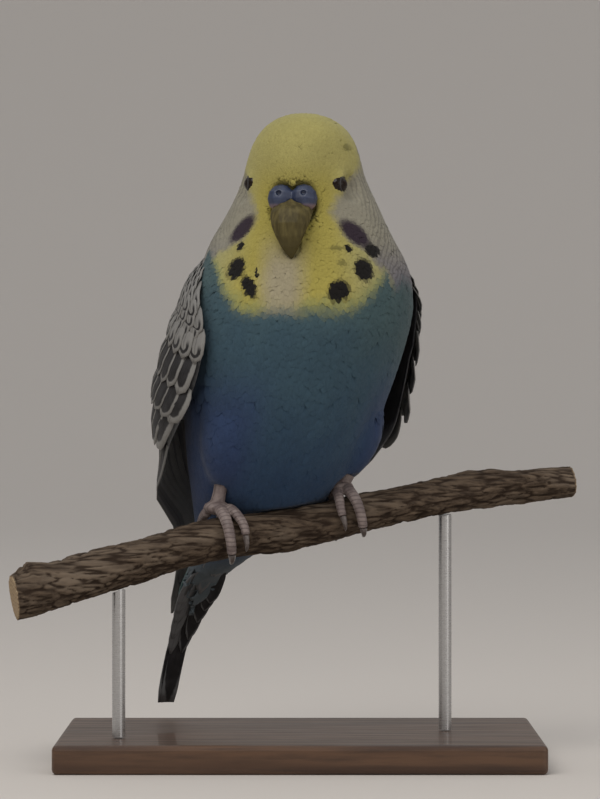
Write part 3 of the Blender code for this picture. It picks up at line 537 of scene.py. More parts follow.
def plumage_colour(points):
    """Colours for places on the bird, and how strongly each is barred. Places in millimetres."""
    head, body = in_head(points), in_body(points)
    wander, ruffle = uneven(points, 7.0), uneven(points, 1.6)
    level = body[:, 2]
    front = rise(body[:, 1] + 0.25 * level, -8.0, 8.0)
    blue = mix(np.tile(COBALT, (len(points), 1)), SKY, rise(level + 4 * wander, 6.0, 40.0))
    blue = mix(blue, GREEN_BLUE, rise(level + 5 * wander + 0.25 * body[:, 0], 38.0, 60.0) * 0.75)
    flank = rise(np.abs(body[:, 0]) + 2 * wander, 9.0, 19.0) * (1.0 - rise(level, 26.0, 44.0))
    blue = mix(blue, FLANK, flank * 0.8)
    blue = mix(blue, VENT, 1.0 - rise(level, -12.0, -3.0))
    # Under the tail, the bird's left side is darkened as painted shade.
    shaded_under_tail = rise(body[:, 0] + 0.4 * wander, 1.6, 3.0) * (1.0 - rise(level, -7.5, -5.0))
    blue = mix(blue, UNDERTAIL_SHADE, shaded_under_tail * (body[:, 1] > -20))
    turn = np.degrees(np.arctan2(np.abs(head[:, 0]), head[:, 1]))
    nape = mix(np.tile(NAPE, (len(points), 1)), MAUVE, 1.0 - rise(level, 60.0, 72.0))
    # The mask: yellow from the crown's front down to the bib, between the barred sides.
    cap = rise(head[:, 1] + 0.9 * (level - 92.0) * (level > 92.0) + wander, -3.0, 1.5)
    wide = np.interp(level, MASK_LEVELS, MASK_TURNS) + 5 * wander + 3 * ruffle
    mask = 1.0 - rise(turn, wide - 7, wide + 7)
    mask += (cap - mask) * rise(level, 84.5, 91.0)
    face = mix(np.tile(YELLOW, (len(points), 1)), PALE_YELLOW, rise(turn, 30, 65))
    face = mix(face, CROWN, rise(level, 80.0, 90.0))
    off_middle = np.abs(head[:, 0] + 2.0 + 0.7 * wander)
    middle = (1.0 - rise(off_middle, 1.5, 7.5)) * (1.0 - rise(level, 62.0, 74.0))
    face = mix(face, CREAM, middle)
    edge = 53.2 + 1.6 * wander + ruffle + 0.13 * np.clip(np.abs(head[:, 0] - 1.0) - 11.0, 0, 12) ** 2
    face = mix(face, RIM, (1.0 - rise(level - edge, 0.6, 4.0)) * 0.7 * (1.0 - 0.8 * middle))
    head_colour = mix(nape, face, mask)
    above = rise(level - edge, -3.0, 2.0)
    above = np.where(turn > 78.0, rise(level + 3 * wander, 56.0, 62.0), above)
    colour = mix(blue, head_colour, above)
    back = (1.0 - front) * rise(level, 20.0, 34.0)
    colour = mix(colour, MAUVE, back * (1.0 - above) * 0.9)
    colour = mix(colour, CHEEK, patch(head, VIOLET_PATCHES, 0.3) * 0.96)
    colour = mix(colour, OLIVE, patch(head, OLIVE_MARKS, 0.5) * 0.7)
    colour = mix(colour, SPOT, patch(head, BLACK_SPOTS))
    nape_share = np.maximum(rise(level, 82.0, 90.0), rise(turn, 58.0, 92.0))
    barred = np.clip(above * (1.0 - mask) * (0.12 + 0.78 * nape_share) + back, 0.0, 1.0)
    # Every colour is held down by the painted shade.
    return colour * PAINTED_SHADE * (1.0 + 0.07 * wander[:, None]), barred


def paint(mesh, colours, barred):
    """Stores a colour, and the barring in its alpha, at every point of a mesh."""
    layer = mesh.color_attributes.new("plumage", "FLOAT_COLOR", "POINT")
    values = np.concatenate((np.clip(colours, 0.004, 1.0), barred[:, None]), axis=1)
    layer.data.foreach_set("color", values.ravel())


skin_colour, skin_bars = plumage_colour(skin_points)
paint(skin_mesh, skin_colour, skin_bars)
print("mean colour of the skin:", np.round(skin_colour.mean(axis=0), 3))

# %% [markdown]
# ## How the coat lies
#
# Feathers point away from the bill over the face, then down the neck and body to the tail. A
# feather's length grows with its distance from the cere: barely a millimetre there, more than five
# on the breast.


# %% The lie and size of the feathers
levels = np.linspace(-45, 100, 60)
spine = np.array([bird_point(*read_table(TRUNK, v)[[2, 1]], v) for v in levels])
spine_run = -np.gradient(spine, axis=0)
spine_run /= np.linalg.norm(spine_run, axis=1)[:, None]
CERE_WORLD = head_point(*CERE_MIDDLE)


def at_levels(points, rows):
    """What rows, one for each level of the spine, say at the points' own levels."""
    height = points[:, 2] - PERCH_HEIGHT
    return np.stack([np.interp(height, levels, rows[:, k]) for k in range(3)], axis=1)


def lie_of(points, normals):
    """Which way a feather lies at each point, and the point's distance from the cere."""
    away = points - CERE_WORLD
    distance = np.linalg.norm(away, axis=1)
    share = rise(distance, 14.0, 30.0)[:, None]
    flow = away / distance[:, None] * (1 - share) + at_levels(points, spine_run) * share
    flow -= normals * np.sum(flow * normals, axis=1)[:, None]
    return flow / np.linalg.norm(flow, axis=1)[:, None], distance


def tree_of(names):
    shape = bmesh.new()
    for name in names:
        shape.from_mesh(nodes[name].data)
    tree = BVHTree.FromBMesh(shape)
    shape.free()
    return tree


hard_parts = tree_of([n for n in nodes if n.startswith(("cere", "bill", "toe", "tarsus", "perch"))])
wing_parts = tree_of([n for n in nodes if n.startswith("wing")])
tail_parts = tree_of(["tail_feathers"])
print("the cere's middle is at", np.round(CERE_WORLD, 1))

# %% [markdown]
# ## Where the feathers stand
#
# Many places are drawn at random over the skin, evenly by area. Each has a better chance of a
# feather where feathers are small, so the cover is about equally thick all over. Places against the
# bill, the feet, the branch or the tail's long feathers go, and so do those far under a wing.

# %% Choose the places of the feathers
CANDIDATES, SKIN_AREA_MM2 = 240000, 14500.0
# Layers of cover, and the share of its own length squared that a feather's vane takes up.
COVER_LAYERS, VANE_AREA = 13.0, 0.42
LENGTH_START_MM, LENGTH_GROWTH, LENGTH_RANGE_MM, LONGEST_LOW_MM = 0.75, 0.085, (1.0, 5.6), 5.0
ROOT_GAP_MM, TIP_GAP_MM, TAIL_GAP_MM, WING_ABOVE_MM, WING_EDGE_MM = 0.3, 0.1, 0.8, 5, 3
EYE_BACK_MM, SHORTEST_MM = -2.0, 0.7


def scatter(count):
    """Places and normals spread evenly over the skin."""
    skin_mesh.calc_loop_triangles()
    corners = np.array([t.vertices[:] for t in skin_mesh.loop_triangles])
    a, b, c = (skin_points[corners[:, k]] for k in range(3))
    area = np.linalg.norm(np.cross(b - a, c - a), axis=1)
    picked = rng.choice(len(area), count, p=area / area.sum())
    u, v = rng.random(count), rng.random(count)
    flip = u + v > 1
    u, v = np.where(flip, 1 - u, u)[:, None], np.where(flip, 1 - v, v)[:, None]
    place = a[picked] + (b - a)[picked] * u + (c - a)[picked] * v
    na, nb, nc = (skin_normals[corners[picked, k]] for k in range(3))
    normal = na + (nb - na) * u + (nc - na) * v
    return place, normal / np.linalg.norm(normal, axis=1)[:, None]


roots, up = scatter(CANDIDATES)
flow, reach = lie_of(roots, up)
length = np.clip(LENGTH_START_MM + LENGTH_GROWTH * reach, *LENGTH_RANGE_MM)
level = roots[:, 2] - PERCH_HEIGHT
length = np.where(level < 2, np.minimum(length, LONGEST_LOW_MM), length)
wanted = COVER_LAYERS / (length * length * VANE_AREA)
keep = rng.random(CANDIDATES) < wanted * (SKIN_AREA_MM2 / CANDIDATES)
tail_level, above, _ = in_tail(roots)
keep &= ~((tail_level < -8.0) & (above < 0.0))
for i in np.flatnonzero(keep):
    place, outward = Vector(roots[i] * MM), Vector(up[i])
    tip = Vector((roots[i] + flow[i] * length[i] * 0.8) * MM)
    root_gap, tip_gap = (hard_parts.find_nearest(p)[3] for p in (place, tip))
    if root_gap < ROOT_GAP_MM * MM or tip_gap < TIP_GAP_MM * MM:
        keep[i] = False
    elif wing_parts.ray_cast(place, outward, WING_ABOVE_MM * MM)[0] is not None:
        # Under a wing only those near its front edge stay, so that the coat runs on beneath it.
        earlier = place - Vector(flow[i]) * WING_EDGE_MM * MM
        keep[i] = wing_parts.ray_cast(earlier, outward, WING_ABOVE_MM * MM)[0] is None
    elif tail_parts.find_nearest(place)[3] < TAIL_GAP_MM * MM:
        keep[i] = False
for side in SIDES:
    # Feathers round an eye are cut short, so that their tips ring it and none lies over it.
    for share in (1.0, 0.8, 0.6, 0.4, 0.25, 0.0):
        out, off = round_eye(roots + flow * (length * share)[:, None], side)
        covers = (off < EYE_OPENING_MM) & (out > EYE_BACK_MM)
        length = np.where(covers, np.maximum(length * (share - 0.1), SHORTEST_MM), length)
        if share < 0.1:
            keep &= ~covers
    out, off = round_eye(roots + flow * length[:, None], side)
    keep &= ~((off < EYE_OPENING_MM) & (out > EYE_BACK_MM))
roots, up, flow, length = roots[keep], up[keep], flow[keep], length[keep]
print("feathers in the coat:", len(roots))

# %% [markdown]
# ## The coat
#
# Each feather is a cupped vane of its own. They are built together as arrays, since a loop over
# each point would be slow. Every vane has two UV maps. `vane` runs across and along it, for its
# barbs. `OFBake` is a small patch at its root's place on an unwrap of the body.

# %% Build the coat
STATIONS = np.array((0.0, 0.22, 0.48, 0.72, 0.9, 1.0))
OUTLINE = np.array((0.60, 0.92, 1.0, 0.88, 0.58, 0.14))
ACROSS = np.array((-1.0, 0.0, 1.0))
# Each feather's patch of the unwrap, how far it may turn from the lie, and its proportions.
PATCH, TURN_SPREAD, LENGTH_SPREAD = 0.003, 0.07, (0.9, 1.1)
WIDTH_SHARE, CUP_SHARE, ROOT_DEPTH_MM = (0.24, 0.29), 0.045, 0.25


def unwrapped(points):
    """Each place's spot on an unwrap of the body: how far round it is, and how high."""
    away = points - at_levels(points, spine)
    turn = np.arctan2(away[:, 0], -away[:, 1]) / (2 * np.pi) + 0.5
    return np.stack((turn, (points[:, 2] - 8.0) / 156.0), axis=1)


def on_skin(places):
    """The nearest places on the skin, and its smooth normals there."""
    spots, normals = np.empty_like(places), np.empty_like(places)
    for i, p in enumerate(places):
        spot, _, face, _ = skin_tree.find_nearest(Vector(p))
        corners = skin_mesh.polygons[face].vertices
        spots[i], normals[i] = spot, skin_normals[list(corners)].mean(axis=0)
    return spots, normals / np.linalg.norm(normals, axis=1)[:, None]


def build_coat(name, chosen, finish):
    """One piece of the coat: the feathers at the chosen places, as one mesh."""
    base, normal, run, size = roots[chosen], up[chosen], flow[chosen], length[chosen]
    count = len(base)
    run = run + np.cross(run, normal) * rng.normal(0, TURN_SPREAD, count)[:, None]
    run /= np.linalg.norm(run, axis=1)[:, None]
    size = size * rng.uniform(*LENGTH_SPREAD, count)
    wide = size * rng.uniform(*WIDTH_SHARE, count)
    depth = np.minimum(COAT_DEPTH_MM, 0.16 * size + 0.35) * rng.uniform(0.94, 1.0, count)
    half, half_normal = on_skin(base + run * (size * 0.5)[:, None])
    tip, tip_normal = on_skin(base + run * size[:, None])
    points = np.empty((count, len(STATIONS), len(ACROSS), 3))
    for i, t in enumerate(STATIONS):
        # The feather bends over the skin at its root, its middle and its tip.
        a, b, c = (1 - t) * (1 - 2 * t), 4 * t * (1 - t), t * (2 * t - 1)
        line = base * a + half * b + tip * c
        out = normal * a + half_normal * b + tip_normal * c
        out /= np.linalg.norm(out, axis=1)[:, None]
        side = np.cross(run, out)
        lift = -ROOT_DEPTH_MM + (depth + ROOT_DEPTH_MM) * (1 - (1 - t) ** 2.6)
        for j, s in enumerate(ACROSS):
            aside = (wide * OUTLINE[i] * s)[:, None]
            cup = CUP_SHARE * size * OUTLINE[i] * abs(s)
            points[:, i, j] = line + side * aside + out * (lift - cup)[:, None]
    rows, columns = len(STATIONS), len(ACROSS)
    quad = np.array(
        [
            (i * columns + j, i * columns + j + 1, (i + 1) * columns + j + 1, (i + 1) * columns + j)
            for i in range(rows - 1)
            for j in range(columns - 1)
        ]
    )
    each = rows * columns
    faces = (quad[None] + np.arange(count)[:, None, None] * each).reshape(-1, 4)
    mesh = mesh_from(name, points.reshape(-1, 3) * MM, faces)
    colour, barred = plumage_colour(base + run * (size * 0.6)[:, None])
    colour *= rng.uniform(0.94, 1.06, count)[:, None]
    paint(mesh, np.repeat(colour, each, axis=0), np.repeat(barred, each))
    local = np.array([((s + 1) / 2, t) for t in STATIONS for s in ACROSS])
    here = np.tile(local, (count, 1))
    lay_uv(mesh, "vane", here)
    lay_uv(mesh, "OFBake", np.repeat(unwrapped(base), each, axis=0) + (here - 0.5) * PATCH)
    return add_piece(name, mesh, finish)


def lay_uv(mesh, title, places):
    """A UV map from one place for each point of the mesh."""
    layer = mesh.uv_layers.new(name=title)
    corner = np.empty(len(mesh.loops), int)
    mesh.loops.foreach_get("vertex_index", corner)
    layer.data.foreach_set("uv", places[corner].ravel())


print("each coat feather has", len(STATIONS) * len(ACROSS), "points")

# %% [markdown]
# ## What a feather is made of
#
# Barbs slope from the shaft to the edge. One group draws them for every feather on the bird, from
# the tiny ones of the face to the long ones of the tail, with its own number of barbs for each.

# %% Group: barbs and shaft
FULL_TURN = 6.283
barbs, g, given, out = new_group(
    "feather_barbs",
    (("Rows", "Float", 30.0), ("Shaft width", "Float", 0.04), ("Slope", "Float", 0.6)),
    (("Barb", "Float"), ("Shaft", "Float"), ("Edge", "Float"), ("Along", "Float")),
)
vane_map = g.add("ShaderNodeUVMap", {"uv_map": "vane"}).outputs["UV"]
split = g.axes(vane_map)
off_shaft = g.maths("ABSOLUTE", g.maths("SUBTRACT", split["X"], 0.5))
slant = g.maths("SUBTRACT", split["Y"], g.maths("MULTIPLY", off_shaft, given["Slope"]))
wave = g.maths("SINE", g.maths("MULTIPLY", g.maths("MULTIPLY", slant, given["Rows"]), FULL_TURN))
g.feed(out["Barb"], g.maths("MULTIPLY_ADD", wave, 0.5, 0.5))
g.feed(out["Shaft"], g.ramp(off_shaft, given["Shaft width"], 0.0))
g.feed(out["Edge"], g.maths("MULTIPLY", off_shaft, 2.0))
g.feed(out["Along"], split["Y"])
print("group:", barbs.name)

# %% [markdown]
# ## Bars of the nape
#
# Fine dark bars run across the back of the head and the nape. They are laid by place and not by
# feather, since on the bird each feather's bar meets its neighbour's in one line. In front they
# follow rings round the bill, and behind the crown they turn level.

# %% Group: dark bars across the nape
# How far behind the cere the rings give way to level bars, in metres.
LEVEL_FROM, LEVEL_FULLY = 0.014, 0.030
bars, g, given, out = new_group(
    "nape_bars",
    (("Middle", "Vector", None), ("Spacing", "Float", 0.0013), ("Waver", "Float", 0.35)),
    (("Bar", "Float"),),
)
place = g.place()
away = g.add("ShaderNodeVectorMath", {"operation": "DISTANCE"})
g.feed(away.inputs[0], place)
g.feed(away.inputs[1], given["Middle"])
waver = g.maths("MULTIPLY", g.cloud(place, 260.0, 2.0), given["Waver"])
spot, front = g.axes(place), g.axes(given["Middle"])
behind = g.ramp(g.maths("SUBTRACT", spot["Y"], front["Y"]), LEVEL_FROM, LEVEL_FULLY)
below = g.maths("ADD", g.maths("SUBTRACT", front["Z"], spot["Z"]), LEVEL_FULLY)
run = g.between(behind, away.outputs["Value"], below)
rows = g.maths("ADD", g.maths("DIVIDE", run, given["Spacing"]), g.maths("MULTIPLY", waver, 6.0))
bar = g.ramp(g.maths("SINE", g.maths("MULTIPLY", rows, FULL_TURN)), 0.25, 0.65)
g.feed(out["Bar"], g.maths("MULTIPLY", bar, g.ramp(behind, 0.0, 1.0, 0.5, 1.0)))
print("group:", bars.name)

# %% [markdown]
# ## The finish of the plumage
#
# Plumage is matt, with a faint sheen off its barbs. The colour comes from the paint stored on the
# feathers. The nape's bars are laid over it where the paint's alpha asks for them. Each feather is
# darker toward its root, which lies in the shadow of the one above.

# %% Finish: plumage
COAT_BARBS, BARB_BUMP, BAR_INK = 16.0, 0.25, (0.03, 0.028, 0.03, 1)


def plumage_finish(name, vaned):
    """Feathers painted by their own colour, with barbs, and bars where the paint asks for them."""
    made, s, shader = new_material(
        name, Roughness=0.8, Sheen_Weight=0.12, Sheen_Roughness=0.5, Specular_IOR_Level=0.15
    )
    paint_in = s.add("ShaderNodeAttribute", {"attribute_name": "plumage"})
    nape = s.group(bars, Middle=tuple(CERE_WORLD * MM))
    dark = s.maths("MULTIPLY", nape.outputs["Bar"], paint_in.outputs["Alpha"])
    colour = s.blend(s.maths("MULTIPLY", dark, 0.86), paint_in.outputs["Color"], BAR_INK)
    if vaned:
        feather = s.group(barbs, Rows=COAT_BARBS, Shaft_width=0.05, Slope=0.5)
        lighter = s.blend(0.5, colour, (0.9, 0.9, 0.9, 1), "SOFT_LIGHT")
        edge = s.ramp(feather.outputs["Edge"], 0.5, 1.0, 0.0, 0.3)
        colour = s.blend(edge, colour, lighter)
        shadow = s.ramp(feather.outputs["Along"], 0.0, 0.5, 0.72, 1.0)
        grey = s.add("ShaderNodeCombineColor", Red=shadow, Green=shadow, Blue=shadow)
        colour = s.blend(1.0, colour, grey.outputs[0], "MULTIPLY")
        s.feed(shader["Normal"], bumped(s, feather.outputs["Barb"], BARB_BUMP, 0.05))
    s.feed(shader["Base Color"], colour)
    return made


coat_finish = plumage_finish("soft_plumage", True)
skin_finish = plumage_finish("down_and_skin", False)
print("finishes:", coat_finish.name, "and", skin_finish.name)

# %% [markdown]
# ## The pieces of the coat
#
# The skin and the coat could be one mesh, but a mesh of that size is slow to handle. So the coat is
# cut by height into six, where each can also be looked at alone. All of them share one finish.

# %% Pieces: skin and coat
add_piece("skin", skin_mesh, skin_finish, FLESH)
level = roots[:, 2] - PERCH_HEIGHT
for name, slot, chosen in (
    ("coat_crown", "head_plumage", level > 86),
    ("coat_face", "head_plumage", (level <= 86) & (level > 72)),
    ("coat_throat", "head_plumage", (level <= 72) & (level > 54)),
    ("coat_breast", "body_plumage", (level <= 54) & (level > 26)),
    ("coat_belly", "body_plumage", (level <= 26) & (level > 2)),
    ("coat_rump", "body_plumage", level <= 2),
):
    build_coat(name, np.flatnonzero(chosen), coat_finish)

# %% [markdown]
# ## Vanes for the wings and the tail
#
# A flight feather is a thin plate with a shaft, slightly cupped, widest past its middle. Each is
# built as a closed plate, laid on the wing's own sheet so that it follows the body's curve. Rows
# overlap like tiles: an upper row's tips lie over the roots of the row below.

# %% One vane on a curved sheet
VANE_OUTLINE = (
    (0.0, 0.55), (0.15, 0.85), (0.4, 1.0), (0.65, 0.98), (0.82, 0.82), (0.93, 0.52), (1.0, 0.10)
)
BLUNT_OUTLINE = ((0.0, 0.75), (0.3, 0.95), (0.7, 1.0), (0.92, 0.97), (1.0, 0.8))
VANE_ACROSS = np.array((-1.0, -0.5, 0.0, 0.5, 1.0))
# How high a vane's middle stands over its edges, and how much of its thickness its tip loses.
VANE_CUP_MM, VANE_THINNING = 0.12, 0.5


class VaneSet:
    """Vanes that become one mesh, each with its own colours and its own cell of the unwrap."""

    def __init__(self, cells):
        self.points, self.faces, self.local = [], [], []
        self.dark, self.pale, self.cells, self.count = [], [], cells, 0

    def add(self, inner, outer, dark, pale, margin, under=None, crescent=0.0, under_margin=None):
        """inner and outer are grids of places, from root to tip and across. under colours the
        inner face, and crescent 1 gives a pale vane with one dark crescent near its tip."""
        under_margin = margin if under_margin is None else under_margin
        rows, columns = inner.shape[:2]
        start = sum(len(p) for p in self.points)
        self.points += [inner.reshape(-1, 3), outer.reshape(-1, 3)]
        step = rows * columns
        for i in range(rows - 1):
            for j in range(columns - 1):
                a = start + i * columns + j
                b, c, d = a + 1, a + columns + 1, a + columns
                self.faces += [(a, d, c, b), (a + step, b + step, c + step, d + step)]
        rim = list(range(columns)) + [i * columns + columns - 1 for i in range(1, rows)]
        rim += [(rows - 1) * columns + j for j in range(columns - 2, -1, -1)]
        rim += [i * columns for i in range(rows - 2, 0, -1)]
        for k, a in enumerate(rim):
            b = rim[(k + 1) % len(rim)]
            self.faces.append((start + a, start + b, start + b + step, start + a + step))
        u, v = np.meshgrid(np.linspace(0, 1, columns), np.linspace(0, 1, rows))
        self.local += [np.stack((u.ravel(), v.ravel()), axis=1)] * 2
        for shade, rim_share in ((under or dark, under_margin), (dark, margin)):
            self.dark += [np.tile((*shade, rim_share), (step, 1))]
            self.pale += [np.tile((*pale, 1.0 - crescent), (step, 1))]
        self.count += 1

    def mesh(self, name):
        mesh = mesh_from(name, np.concatenate(self.points) * MM, self.faces)
        for title, values in (("vane_dark", self.dark), ("vane_pale", self.pale)):
            layer = mesh.color_attributes.new(title, "FLOAT_COLOR", "POINT")
            layer.data.foreach_set("color", np.concatenate(values).ravel())
        lay_uv(mesh, "vane", np.concatenate(self.local))
        cell = []
        across = math.ceil(math.sqrt(self.cells))
        for k in range(self.count):
            corner = np.array((k % across, k // across)) / across
            # The left half of a vane's cell is for its inner face, and the right half for its outer.
            for face in (0, 1):
                local = (0.1 + 0.8 * self.local[2 * k + face]) * (0.5, 1.0)
                cell.append(corner + local / across + (0.5 * face / across, 0))
        lay_uv(mesh, "OFBake", np.concatenate(cell))
        return mesh


def wing_vane(vanes, side, row, share, tip, half):
    """One vane of a wing, laid on the wing's sheet from its row's roots to its own tip."""
    mirror = SIDES[side]
    count = row["stations"]
    inner = np.empty((count, len(VANE_ACROSS), 3))
    outer = np.empty_like(inner)
    spots = []
    for t in np.linspace(0, 1, count):
        level = row["root"] + (tip - row["root"]) * t
        spots.append((level, wing_angle(level, share)))
    middles = [wing_point(v, mirror * a) for v, a in spots]
    for i, t in enumerate(np.linspace(0, 1, count)):
        level, angle = spots[i]
        run = middles[min(i + 1, count - 1)] - middles[max(i - 1, 0)]
        by_level = wing_point(level + 0.5, mirror * angle) - wing_point(level - 0.5, mirror * angle)
        by_angle = wing_point(level, mirror * (angle + 0.5)) - wing_point(level, mirror * (angle - 0.5))
        across = np.cross(np.cross(by_level, by_angle), run)
        across /= np.linalg.norm(across)
        change = np.linalg.lstsq(np.array([by_level, by_angle]).T, across, rcond=None)[0]
        change = -change if change[1] > 0 else change
        wide = half * read_table(VANE_OUTLINE, t)[1]
        off = row["off"][0] + (row["off"][1] - row["off"][0]) * min(t / 0.5, 1.0)
        tilt = row["tilt"][0] + (row["tilt"][1] - row["tilt"][0]) * t
        thick = row["thick"] * (1.0 - VANE_THINNING * t**3)
        for j, s in enumerate(-VANE_ACROSS):
            turn = min(angle + change[1] * s * wide, WING_LIMIT)
            here = (level + change[0] * s * wide, mirror * turn)
            lift = off + tilt * s * wide / half + VANE_CUP_MM * (1 - s * s) * wide / half
            inner[i, j] = wing_point(*here, lift)
            outer[i, j] = wing_point(*here, lift + thick)
    edges = row["pale"], row["margin"]
    vanes.add(inner, outer, INK, *edges, UNDERSIDE, row["crescent"], UNDERSIDE_RIM)


print("a vane has", len(VANE_ACROSS), "points across")


# %% [markdown]
# ## The folded wings
#
# Small coverts start at the shoulder as pale scales with dark crescents. Further down each row is
# longer and darker, with a narrow pale edge. The longest primaries reach past the branch.

# %% Rows of the wing
INK, SOOT, ASH = (0.012, 0.011, 0.012), (0.030, 0.029, 0.032), (0.085, 0.085, 0.09)
CHALK, SILVER, PEWTER = (0.21, 0.205, 0.195), (0.18, 0.18, 0.175), (0.12, 0.122, 0.126)
UNDERSIDE, UNDERSIDE_RIM = (0.10, 0.10, 0.105), 0.62


# Each row's vanes, its root's level, the levels of its first and last tip, the shares of the wing's
# width where it starts and ends, a vane's half width, its height over the sheet and its tilt at root
# and tip, its thickness, its stations, its pale margin, its crescent and the colour of its edge.
ROW_FIELDS = (
    "count", "root", "tips", "shares", "half", "off", "tilt", "thick", "stations", "margin",
    "crescent", "pale",
)
SCALE_ROWS = (
    (64.2, (-3.0, 0.6)), (61.8, (-1.6, 1.2)), (59.4, (0.0, 1.6)), (57.0, (0.9, 1.85)),
    (54.6, (0.9, 1.85)), (52.6, (0.9, 1.85)),
)
WING_TABLE = [
    (13, root, (root - 5.4, root - 5.4), (0.03, 0.97), 2.2, off, (0.12, 0.16), 0.2, 6, 0.6, 1.0, CHALK)
    for root, off in SCALE_ROWS
]
WING_TABLE += [
    (12, 50.6, (43.2, 42.4), (0.03, 0.96), 2.6, (1.2, 2.3), (0.16, 0.2), 0.25, 7, 0.42, 1.0, CHALK),
    (12, 44.6, (35.4, 34.4), (0.03, 0.96), 2.7, (1.2, 2.55), (0.16, 0.2), 0.25, 7, 0.27, 0.0, CHALK),
    (12, 37.5, (28.4, 27.0), (0.04, 0.95), 2.9, (1.55, 2.8), (0.16, 0.22), 0.25, 7, 0.23, 0.0, CHALK),
    (10, 31.0, (18.8, 12.6), (0.05, 0.94), 3.1, (1.2, 2.1), (0.18, 0.26), 0.25, 9, 0.28, 0.0, CHALK),
    (9, 21.5, (-27.0, 5.0), (0.07, 0.93), 2.9, (0.45, 0.9), (0.18, 0.42), 0.28, 12, 0.20, 0.0, SILVER),
]
WING_ROWS = [dict(zip(ROW_FIELDS, row)) for row in WING_TABLE]
print("rows on a wing:", len(WING_ROWS), "with", sum(row["count"] for row in WING_ROWS), "vanes")

# %% [markdown]
# ## Build a wing
#
# A thin dark band lies on the sheet first. The rows go over it from the shoulder down, each vane
# with a little chance in its place and size, since rows that are all alike look like roof tiles.

# %% Build a wing
BAND_LEVELS, BAND_SHARES = np.linspace(58.5, 17.0, 16), np.linspace(0.02, 0.99, 14)
BAND_INNER_MM, BAND_OUTER_MM, BAND_SWELL_MM, BAND_RAISED_MM, RAISED_FROM = 0.35, 0.55, 0.35, 0.45, 46
# The first vanes of a row, at the wing's front, show a broader pale edge.
FRONT_EDGES = (0.25, 0.1, 0.0)
WING_NODES = ("shoulder", "coverts", "secondaries", "primaries")


def band(side):
    """A dark sheet under the rows, so that no gap shows the body through them."""
    inner = np.empty((len(BAND_LEVELS), len(BAND_SHARES), 3))
    outer = np.empty_like(inner)
    for i, level in enumerate(BAND_LEVELS):
        raised = 0.0 if level < RAISED_FROM else BAND_RAISED_MM
        for j, share in enumerate(BAND_SHARES):
            here = (level, SIDES[side] * wing_angle(level, share))
            swell = BAND_SWELL_MM * math.sin(math.pi * share)
            inner[i, j] = wing_point(*here, BAND_INNER_MM + raised)
            outer[i, j] = wing_point(*here, BAND_OUTER_MM + swell + raised)
    return inner, outer


def make_wing(side, finish):
    draw = random.Random(side)
    vanes = VaneSet(sum(row["count"] for row in WING_ROWS) + 1)
    vanes.add(*band(side), SOOT, PEWTER, 0.07)
    for number, row in enumerate(WING_ROWS):
        for k in range(row["count"]):
            place = k / (row["count"] - 1)
            # Every second row is moved on by half a vane, as tiles are.
            half_step = 0.5 / row["count"] if number % 2 and place < 1 else 0.0
            share = row["shares"][0] + (row["shares"][1] - row["shares"][0]) * place
            share += draw.uniform(-0.006, 0.006) + half_step
            tip = row["tips"][0] + (row["tips"][1] - row["tips"][0]) * place
            tip += draw.uniform(-0.35, 0.35)
            edged = dict(row, margin=row["margin"] + FRONT_EDGES[min(k, 2)])
            half = row["half"] * draw.uniform(0.94, 1.06)
            wing_vane(vanes, side, edged, min(share, 0.97), tip, half)
    name = f"wing_{side}_vanes"
    stands_for = [f"wing_{side}_{part}" for part in WING_NODES]
    return add_piece(name, vanes.mesh(name), finish, stands_for)


print("levels of the band under the rows:", BAND_LEVELS[0], "to", BAND_LEVELS[-1])

# %% [markdown]
# ## The finish of long feathers
#
# Each vane is dark with a pale rim, which runs along both edges and round the tip. The rim is found
# from the vane's own map, by how far a place lies out toward the edge and the tip together. Noise
# frays it a little. The smallest coverts have it the other way round: pale, with a dark crescent.

# %% Finish: dark vanes with pale edges
RIM_WIDTH, RIM_FRAY = 0.16, 0.16


def vane_finish(name, rows, shaft):
    made, s, shader = new_material(
        name, Roughness=0.6, Sheen_Weight=0.05, Sheen_Roughness=0.4, Specular_IOR_Level=0.25
    )
    dark = s.add("ShaderNodeAttribute", {"attribute_name": "vane_dark"})
    pale = s.add("ShaderNodeAttribute", {"attribute_name": "vane_pale"})
    feather = s.group(barbs, Rows=rows, Shaft_width=shaft, Slope=0.5)
    place = s.place()
    ragged = s.maths("MULTIPLY", s.maths("SUBTRACT", s.cloud(place, 900.0, 2.0), 0.5), RIM_FRAY)
    tipward = s.ramp(feather.outputs["Along"], 0.55, 1.02)
    square = s.maths("MULTIPLY", tipward, tipward)
    square = s.maths("MULTIPLY_ADD", feather.outputs["Edge"], feather.outputs["Edge"], square)
    rim = s.maths("ADD", s.maths("SQRT", square), ragged)
    inside = s.maths("SUBTRACT", 1.0, dark.outputs["Alpha"])
    edge = s.ramp(rim, inside, s.maths("ADD", inside, RIM_WIDTH))
    # A crescent is the band a little inside the rim, near the tip only.
    band_of = s.maths("MULTIPLY", s.ramp(rim, 0.30, 0.42), s.ramp(rim, 0.76, 0.64))
    band_of = s.maths("MULTIPLY", band_of, s.ramp(feather.outputs["Along"], 0.40, 0.62))
    edge = s.between(pale.outputs["Alpha"], s.maths("SUBTRACT", 1.0, band_of), edge)
    mottle = s.cloud(place, 320.0, 3.0)
    colour = s.blend(edge, dark.outputs["Color"], pale.outputs["Color"])
    colour = s.blend(s.ramp(mottle, 0.35, 0.8, 0.0, 0.2), colour, ASH + (1,))
    colour = s.blend(s.maths("MULTIPLY", feather.outputs["Shaft"], 0.4), colour, INK + (1,))
    s.feed(shader["Base Color"], colour)
    raised = s.maths("MULTIPLY", feather.outputs["Shaft"], 2.0)
    height = s.maths("ADD", feather.outputs["Barb"], raised)
    s.feed(shader["Normal"], bumped(s, height, 0.35, 0.05))
    return made


flight_finish = vane_finish("flight_feathers", 40.0, 0.05)
print("finish:", flight_finish.name)

# %% Pieces: wings
for side in SIDES:
    make_wing(side, flight_finish)

